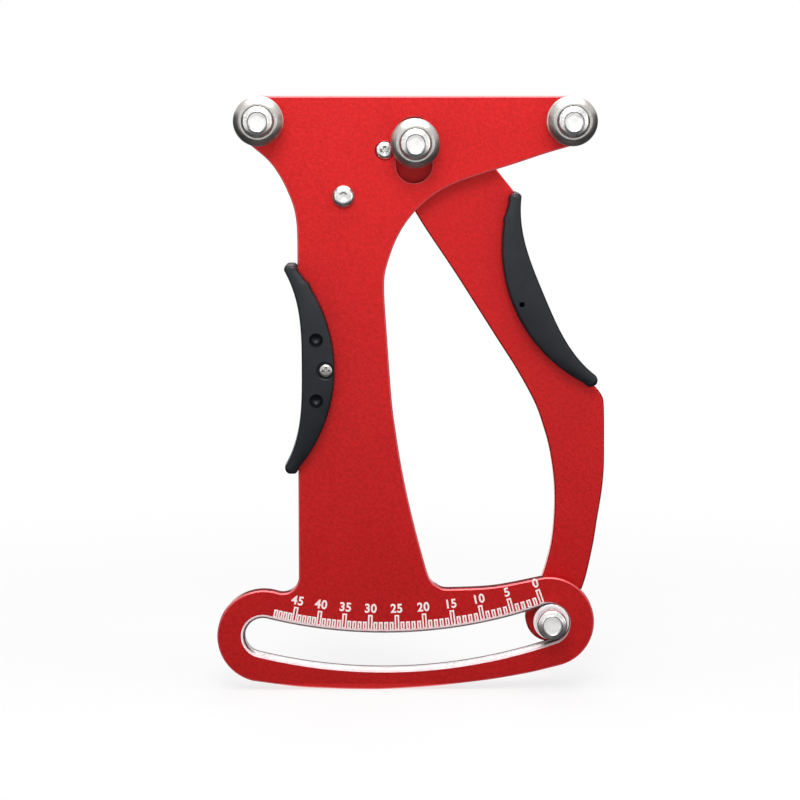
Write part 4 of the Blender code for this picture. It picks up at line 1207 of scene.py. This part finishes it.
pivot = stacked("pivot_bolt", rings_of((0.0011, pivot_end)) + thread(
    PIVOT_SHANK_RADIUS, pivot_end - 0.0002, NUT_START - 0.0004, 0.0005, 0.00014,
) + rings_of(
    (PIVOT_SHANK_RADIUS, NUT_START - 0.0006),
    (PIVOT_SHANK_RADIUS, FRAME_FRONT + countersink),
    (PIVOT_HEAD_RADIUS - 0.00012, FRAME_FRONT + 0.00010),
    (PIVOT_HEAD_RADIUS - 0.00018, FRAME_FRONT - 0.00002),
    (PIVOT_HEAD_RADIUS - 0.00045, FRAME_FRONT - 0.00026),
    (0.00215, FRAME_FRONT - 0.00048),
    (0.00180, FRAME_FRONT - 0.00060),
    (cross(0.00155, 0.00052), FRAME_FRONT - 0.00058),
    (cross(0.00145, 0.00038), FRAME_FRONT - 0.00020),
    (cross(0.00080, 0.00022), FRAME_FRONT + 0.00120),
))
add_piece("pivot_bolt", pivot, [screw_steel], "frame", ["pivot_screw"], at(PIVOT))
print("pivot screw ends at y", round(pivot_end, 4))

# %% [markdown]
# ## The bearing at the back
#
# Behind the frame the pivot screw clamps a bronze bush, on which the arm turns, with a nylon
# washer in the gap, a steel one behind and a nut. The spring's two pillars stand beside it. The
# bush and the gap washer hardly show, so they keep their CAD shapes and get only a finish.

# %% Bearing and pillars
nut_bore = PIVOT_SHANK_RADIUS + FIT
rear_washer = turned("rear_washer", [
    (nut_bore, REAR_WASHER_FRONT), (0.0070, REAR_WASHER_FRONT),
    (0.0070, REAR_WASHER_BACK), (nut_bore, REAR_WASHER_BACK),
])
NUT_WIDTH = 0.0055
nut = endless("lock_nut", rings_of(
    (nut_bore, NUT_START),
    (NUT_WIDTH * 0.47, NUT_START),
    (hexagon(NUT_WIDTH), NUT_START + 0.0003),
    (hexagon(NUT_WIDTH), NUT_END - 0.0009),
    (NUT_WIDTH * 0.47, NUT_END - 0.0006),
    (NUT_WIDTH * 0.40, NUT_END - 0.0001),
    (NUT_WIDTH * 0.38, NUT_END),
    (nut_bore + 0.0002, NUT_END),
    (nut_bore, NUT_END - 0.0002),
))
for mesh, node in ((rear_washer, "pivot_rear_washer"), (nut, "pivot_nut")):
    add_piece(mesh.name, mesh, [screw_steel], "frame", [node], at(PIVOT))


def pillar_profile(start, inner):
    """A pillar with a neck in the spring's plane; inner is its bore radius."""
    neck, half, head = 0.0021, 0.0008, 0.0036
    end = SPRING_Y + half + 0.0012
    return [
        (inner, start), (head, start), (head, SPRING_Y - half), (neck, SPRING_Y - half),
        (neck, SPRING_Y + half), (head, SPRING_Y + half), (head, end), (inner, end),
    ]


anchor_profile = pillar_profile(FRAME_BACK + FIT, BUTTON_SHANK_RADIUS + FIT)
anchor_pillar = turned("anchor_pillar", anchor_profile, 64)
tail_profile = pillar_profile(ARM_BACK + FIT, 0.0)
tail_pillar = stacked("tail_pillar", rings_of(
    (BUTTON_SHANK_RADIUS, ARM_FRONT + SCREW_END_INSET),
    (BUTTON_SHANK_RADIUS, ARM_BACK + FIT),
    *eased(tail_profile[1:-1], 0.0001, closed=False),
))
for mesh, body, node, place in (
    (anchor_pillar, "frame", "spring_anchor_post", ANCHOR),
    (tail_pillar, "arm", "arm_spring_post", TAIL),
):
    add_piece(mesh.name, mesh, [dark_steel], body, [node], at(place))
for node, finish in (("pivot_bush", bush_bronze), ("pivot_gap_washer", washer_nylon)):
    kept = frame["nodes"][node]
    kept.data.materials.clear()
    kept.data.materials.append(finish)
print("bearing dressed")

# %% [markdown]
# ## The grips
#
# Each grip is two moulded halves that close over the plate's edge. A half is lofted from sections
# across its length: a wall with the draft a mould needs, a small rounded edge that draws a thin
# light line, a slightly crowned face, and the same back down. The tips fall off by the same wall.
# A Boolean then takes out the pocket for the plate, the screw's hole with its broken edge, and the
# two deep dimples with rounded floors, as a mould's pins leave them.

# %% Grip halves
GRIP_STAND = 0.0062
GRIP_CROWN = 0.0004
GRIP_DRAFT = 0.0002
GRIP_EDGE_ROUND = 0.0010
GRIP_PARTING = 0.00004
GRIP_TIP_FALL = 0.28
GRIP_DIMPLE_ALONG = 0.01015
GRIP_DIMPLE_INSET = 0.0052
SCREW_WELL = ((0.00258, -0.0016), (0.00262, -0.00035), (0.0034, 0.00045))
DIMPLE = (
    (0.0002, -0.0023), (0.0009, -0.0021), (0.0016, -0.0016),
    (0.0020, -0.0009), (0.00215, -0.0003), (0.0026, 0.0006),
)
HALF_PLATE = 0.0025
EDGE_STEPS = 6
CROWN_STEPS = 8


def sunk_from_face(sections):
    """Sections given from the grip's face, counted from the plate's middle instead."""
    return [(radius, HALF_PLATE + GRIP_STAND + rise) for radius, rise in sections]


def grip_section(along, share, middle, height):
    low = middle + (concave_edge(along) - middle) * share
    high = middle + (convex_edge(along) - middle) * share
    width = high - low
    draft = min(GRIP_DRAFT, width * 0.05)
    edge = min(GRIP_EDGE_ROUND, width * 0.25, height * 0.8)
    crown = GRIP_CROWN * min(1, width / GRIP_CONVEX_REACH)
    rounding = []
    for step in range(EDGE_STEPS + 1):
        angle = math.radians(90 * step / EDGE_STEPS)
        across = draft + edge * (1 - math.cos(angle))
        rounding.append((across, height - edge * (1 - math.sin(angle))))
    inner = draft + edge
    section = [(low, 0.0)] + [(low + across, rise) for across, rise in rounding]
    for step in range(1, CROWN_STEPS):
        t = step / CROWN_STEPS
        section.append((low + inner + (width - 2 * inner) * t, height + crown * 4 * t * (1 - t)))
    return section + [(high - across, rise) for across, rise in reversed(rounding)] + [(high, 0.0)]


def wall_height(inset, height):
    """The height of a side wall this far in from the outline: a draft, then a rounded top."""
    if inset < GRIP_DRAFT:
        return (height - GRIP_EDGE_ROUND) * inset / GRIP_DRAFT
    beyond = max(0.0, 1 - (inset - GRIP_DRAFT) / GRIP_EDGE_ROUND)
    return height - GRIP_EDGE_ROUND * (1 - math.sqrt(1 - beyond ** 2))


def grip_stations():
    """Places along the grip, each with its share of the width and its distance in from the tip."""
    tip = []
    for degrees in list(range(6, 78, 6)) + [76, 80, 84, 87]:
        turn = math.radians(degrees)
        inset = GRIP_TIP_RADIUS * (1 - math.sin(turn))
        tip.append((GRIP_TIP_ALONG + GRIP_TIP_RADIUS - inset, math.cos(turn), inset))
    places = [GRIP_TIP_ALONG * math.sin(math.radians(degrees)) for degrees in range(-90, 91, 4)]
    places += [GRIP_LUG_ALONG + GRIP_LUG_HALF * step / 4 for step in range(-5, 6)]
    body = [(along, 1.0, 1.0) for along in sorted(places)]
    return [(-along, share, inset) for along, share, inset in reversed(tip)] + body + tip


def cut(owner, cutters):
    """Takes the cutters' shapes out of the owner and leaves a plain mesh."""
    for cutter in cutters:
        modifier = owner.modifiers.new(cutter.name, "BOOLEAN")
        modifier.operation = "DIFFERENCE"
        modifier.solver = "EXACT"
        modifier.object = cutter
    shape = evaluated_mesh(owner)
    owner.modifiers.clear()
    owner.data = shape
    for cutter in cutters:
        bpy.data.objects.remove(cutter)
    shape.set_sharp_from_angle(angle=math.radians(30))


def stand_at(along):
    """How far the grip's face stands off the plate's middle, less towards the tips."""
    return HALF_PLATE + GRIP_STAND * (1 - GRIP_TIP_FALL * (along / GRIP_HALF_LENGTH) ** 2)


def grip_half(name, grip, middle_y, outwards, plate_edge, screw_side, body, node):
    end = GRIP_TIP_ALONG
    tip_middle = (concave_edge(end) + convex_edge(end)) / 2
    centre = grip_place(grip, 0, 0)

    def point(along, across, height):
        place = grip_place(grip, along, across) - centre
        return Vector(at(place, middle_y + outwards * height))

    loops = []
    for along, share, inset in grip_stations():
        height = wall_height(inset, stand_at(along))
        within = max(-end, min(end, along))
        section = grip_section(within, share, tip_middle, height - GRIP_PARTING)
        loops.append([point(along, across, rise + GRIP_PARTING) for across, rise in section])
    half = placed(name, stacked(name, loops), at(centre))
    half.data.materials.append(grip_black)
    reach = GRIP_HALF_LENGTH + 0.001
    line = []
    for index in range(61):
        along = reach * math.sin(math.pi * (index / 60 - 0.5))
        line.append((along, max(concave_edge(along) + GRIP_WALL, plate_edge) - FIT))
    pocket = line + [(reach, 0.016), (-reach, 0.016)]
    loops = []
    for height in (-0.001, HALF_PLATE + FIT):
        loops.append([point(along, across, height) for along, across in pocket])
    cutters = [placed("pocket", stacked("pocket", loops), half.location)]
    shaft = GRIP_SHANK_RADIUS + FIT
    narrow = shaft if screw_side else 0.0009
    step = HALF_PLATE + 0.0020
    stepped = ((shaft, -0.012), (shaft, step), (narrow, step + 0.0002), (narrow, 0.012))
    holes = [(stepped, 0, GRIP_SCREW_OUT)]
    if screw_side:
        holes.append((sunk_from_face(SCREW_WELL), 0, GRIP_SCREW_OUT))
        for along in (-GRIP_DIMPLE_ALONG, GRIP_DIMPLE_ALONG):
            holes.append((sunk_from_face(DIMPLE), along, convex_edge(along) - GRIP_DIMPLE_INSET))
    for sections, along, across in holes:
        hole = stacked("hole", rings_of(*((radius, outwards * y) for radius, y in sections)))
        cutters.append(placed("hole", hole, half.location + point(along, across, 0)))
    cut(half, cutters)
    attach(half, body)
    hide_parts(node)
    return half


frame_edge = STEM_LEFT_X - LEFT_GRIP[0].x
FRAME_MIDDLE = (FRAME_FRONT + FRAME_BACK) / 2
ARM_MIDDLE = (ARM_FRONT + ARM_BACK) / 2
halves = []
for side, grip, middle_y, edge, body in (
    ("left", LEFT_GRIP, FRAME_MIDDLE, frame_edge, "frame"),
    ("right", RIGHT_GRIP, ARM_MIDDLE, 0.0, "arm"),
):
    for end, outwards in (("front", -1), ("rear", 1)):
        holds_head = (side, end) in (("left", "front"), ("right", "rear"))
        halves.append(grip_half(
            side + "_grip_" + end, grip, middle_y, outwards, edge, holds_head, body,
            "grip_" + side + "_" + end,
        ))
print("grip half faces:", [len(half.data.polygons) for half in halves])

# %% [markdown]
# ## The grips' screws
#
# A pan head screw with a cross recess sits in each grip's well and bites into the other half.

# %% Grip screws
seat = HALF_PLATE + GRIP_STAND - 0.0016 + FIT


def pan_screw(name, outwards):
    tip = -(HALF_PLATE + 0.0016)
    threaded = (outwards * (tip + 0.0008), outwards * (tip + 0.0050))
    loops = rings_of((0.00005, outwards * tip))
    loops += thread(GRIP_SHANK_RADIUS, *threaded, 0.0008, 0.00022)
    for radius_at, height in (
        (GRIP_SHANK_RADIUS, 0.0),
        (0.00208, 0.0),
        (0.0021, 0.00006),
        (0.0021, 0.0011),
        (0.00205, 0.00126),
        (0.0018, 0.00144),
        (0.0015, 0.00154),
        (cross(0.00140, 0.00036), 0.00156),
        (cross(0.00130, 0.00029), 0.00140),
        (cross(0.00070, 0.00018), 0.00060),
    ):
        loops.append(ring(radius_at, outwards * (seat + height)))
    return stacked(name, loops)


for name, grip, middle_y, outwards, body, node in (
    ("left_grip_bolt", LEFT_GRIP, FRAME_MIDDLE, -1, "frame", "grip_left_screw"),
    ("right_grip_bolt", RIGHT_GRIP, ARM_MIDDLE, 1, "arm", "grip_right_screw"),
):
    place = grip_place(grip, 0, GRIP_SCREW_OUT)
    screw = pan_screw(name, outwards)
    add_piece(name, screw, [post_steel], body, [node], at(place, middle_y))
print("grip screws seat at", round(seat * 1000, 2), "mm from the plate's middle")

# %% [markdown]
# ## The spring
#
# The return spring is one wire, though the joint file has it as a lower and an upper end that
# slide apart. It is drawn as one tube along an eye, a stem, the coil, a stem and an eye.

# %% Return spring
COIL_RADIUS = 0.0029
WIRE_RADIUS = 0.0005
SPRING_TURNS = 11
HOOK_STEM = 0.0046
spring_way = (TAIL - ANCHOR).normalized()
spring_side = Vector((-spring_way.y, spring_way.x))


def spring_point(along, side, behind):
    place = ANCHOR + spring_way * along + spring_side * side
    return Vector(at(place, SPRING_Y + behind))


def on_coil(angle):
    return COIL_RADIUS * math.cos(angle), COIL_RADIUS * math.sin(angle)


def spring_path():
    start = HOOK_STEM + WIRE_RADIUS + FIT
    length = SPRING_LENGTH - 2 * start
    steps = SPRING_TURNS * 24
    lower, coil, upper = [], [], []
    for step in range(41):
        along, side = on_coil(math.radians(400 - 310 * step / 40))
        lower.append(spring_point(along, side, 0))
        along, side = on_coil(math.radians(90 + 310 * step / 40))
        upper.append(spring_point(SPRING_LENGTH - along, side, 0))
    for step in range(steps + 1):
        along = start + length * step / steps
        coil.append(spring_point(along, *on_coil(2 * math.pi * step / 24)))
    return lower + coil + upper


def tube(name, path, radius, sides=14):
    """A round tube along a path, its frame carried along without twisting."""
    bm = bmesh.new()
    rings = []
    normal = Vector((0, 1, 0))
    for index, point in enumerate(path):
        ahead = path[min(index + 1, len(path) - 1)]
        behind = path[max(index - 1, 0)]
        tangent = (ahead - behind).normalized()
        normal = (normal - tangent * normal.dot(tangent)).normalized()
        across = tangent.cross(normal)
        round_wire = []
        for side in range(sides):
            angle = 2 * math.pi * side / sides
            outwards = math.cos(angle) * normal + math.sin(angle) * across
            round_wire.append(bm.verts.new(point + radius * outwards))
        rings.append(round_wire)
    for lower, upper in zip(rings, rings[1:]):
        bridge(bm, lower, upper)
    bm.faces.new(rings[0])
    bm.faces.new(rings[-1])
    return finish_mesh(name, bm, 50)


wire = tube("return_spring", spring_path(), WIRE_RADIUS)
spring = add_piece("return_spring", wire, [dark_steel], None, [])
tuple(spring_point(HOOK_STEM, 0, 0))
tuple(spring_point(SPRING_LENGTH - HOOK_STEM, 0, 0))
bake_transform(spring)
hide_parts("spring_lower_hook", "spring_coil", "spring_upper_hook")
print("spring faces:", len(spring.data.polygons))

# %% [markdown]
# ## The studio
#
# The tool stands on a white table before a white surround. The camera sees the surround, and so
# does everything that mirrors it or lets it through, but the light it gives the tool is only a
# soft grey: the lamps do the rest. The table fades into the surround with distance, so there is
# no horizon, and it keeps the tool's soft shadow.

# %% Floor and surround
FLOOR_Z = cad_low.z - 0.00005


def floor_finish():
    finish = Finish("studio_table", roughness=0.5, specular_ior_level=0.0)
    place = finish.place()
    distance = finish.node("ShaderNodeVectorMath", {"operation": "LENGTH"}, {0: place}, output=1)
    far = 0.74 + 0.26 * distance.between(0.05, 0.45)
    finish.paint((0.86, 0.86, 0.86, 1.0), 0.5)
    glow = finish.node("ShaderNodeEmission", None, {"Color": (1.0, 1.0, 1.0, 1.0), "Strength": 1.0})
    near = Wire(finish, finish.shader.outputs[0])
    mixed = finish.node("ShaderNodeMixShader", None, {0: far, 1: near, 2: glow})
    finish.plug(mixed, finish.nodes["Material Output"].inputs["Surface"])
    return finish.material


def floor_mesh():
    bm = bmesh.new()
    corners = [bm.verts.new((x, y, 0)) for x, y in ((-3, -3), (3, -3), (3, 3), (-3, 3))]
    bm.faces.new(corners)
    return finish_mesh("studio_table", bm)


table = placed("studio_table", floor_mesh(), (0, 0, FLOOR_Z))
table.data.materials.append(floor_finish())

world = bpy.data.worlds.new("studio")
bpy.context.scene.world = world
around = Tree(world)
rays = around.node("ShaderNodeLightPath").socket.node.outputs
camera_ray, glossy_ray, through_ray = [
    Wire(around, rays[kind]) for kind in ("Is Camera Ray", "Is Glossy Ray", "Is Transmission Ray")
]
seen = camera_ray.maths("MAXIMUM", camera_ray.maths("MAXIMUM", camera_ray, glossy_ray), through_ray)
soft = around.node("ShaderNodeBackground", None, {"Color": (0.92, 0.96, 1.0, 1.0), "Strength": 0.20})
white = around.node("ShaderNodeBackground", None, {"Color": (1.0, 1.0, 1.0, 1.0)})
either = around.node("ShaderNodeMixShader", None, {0: seen, 1: soft, 2: white})
around.plug(either, around.nodes["World Output"].inputs["Surface"])
print("floor at z", round(FLOOR_Z, 4))

# %% [markdown]
# ## The lamps
#
# The red is brightest at the head and falls off towards the foot: the key lamp is above and in
# front of the head. Every turned piece is white on its upper flanks, so a wide soft lamp hangs
# straight above. Two weaker ones fill from the sides and one lights the back. The lower flanks
# and the outlines are dark, and that is what a photographer's black cards do. They lie and stand
# just out of the picture, and only reflections see them: one on the table, two at the sides and
# one behind, at the height where the plates' upper walls mirror it.


# %% Lamps
def lamp(name, place, target, size, power, colour=(1.0, 1.0, 1.0), size_y=None):
    data = bpy.data.lights.new(name, "AREA")
    data.shape = "RECTANGLE"
    data.size = size
    data.size_y = size_y or size
    data.energy = power
    data.color = colour
    made = placed(name, data, place)
    aim(made, Vector(target) - Vector(place))
    made.visible_camera = False


middle = (0.0, 0.0, -0.08)
lamp("lamp_key", (-0.02, -0.36, 0.26), (0, 0, 0.0), 0.22, 1.30)
lamp("lamp_above", (0.0, -0.05, 0.42), (0, 0, -0.08), 0.60, 2.2, size_y=0.26)
lamp("lamp_right", (0.80, -0.45, 0.05), middle, 0.45, 0.9, (1.0, 0.99, 0.97))
lamp("lamp_left", (-0.75, -0.40, 0.00), middle, 0.30, 0.68, (0.97, 0.99, 1.0), size_y=0.7)
lamp("lamp_back", (0.0, 0.60, 0.45), middle, 0.60, 2.0)


def card(name, corners):
    """A dark card that only reflections see, as a photographer's flag just out of the picture."""
    bm = bmesh.new()
    bm.faces.new([bm.verts.new(corner) for corner in corners])
    made = placed(name, finish_mesh(name, bm))
    made.data.materials.append(grip_black)
    for kind in ("camera", "diffuse", "shadow", "transmission"):
        setattr(made, "visible_" + kind, False)


low = FLOOR_Z + 0.002
card("low_card", [(-0.35, -0.40, low), (0.35, -0.40, low), (0.35, 0.25, low), (-0.35, 0.25, low)])
for name, x in (("left_card", -0.32), ("right_card", 0.32)):
    card(name, [(x, -0.16, low), (x, 0.30, low), (x, 0.30, 0.10), (x, -0.16, 0.10)])
card("back_card", [(x, 0.50, z) for x, z in ((-0.6, -0.125), (0.6, -0.125), (0.6, 0.16), (-0.6, 0.16))])

# %% [markdown]
# ## Sizes
#
# The imported model's bounds, as measured when it was loaded.

# %% Sizes
print("cad   ", [round(value * 1000, 2) for value in (*cad_low, *cad_high)])
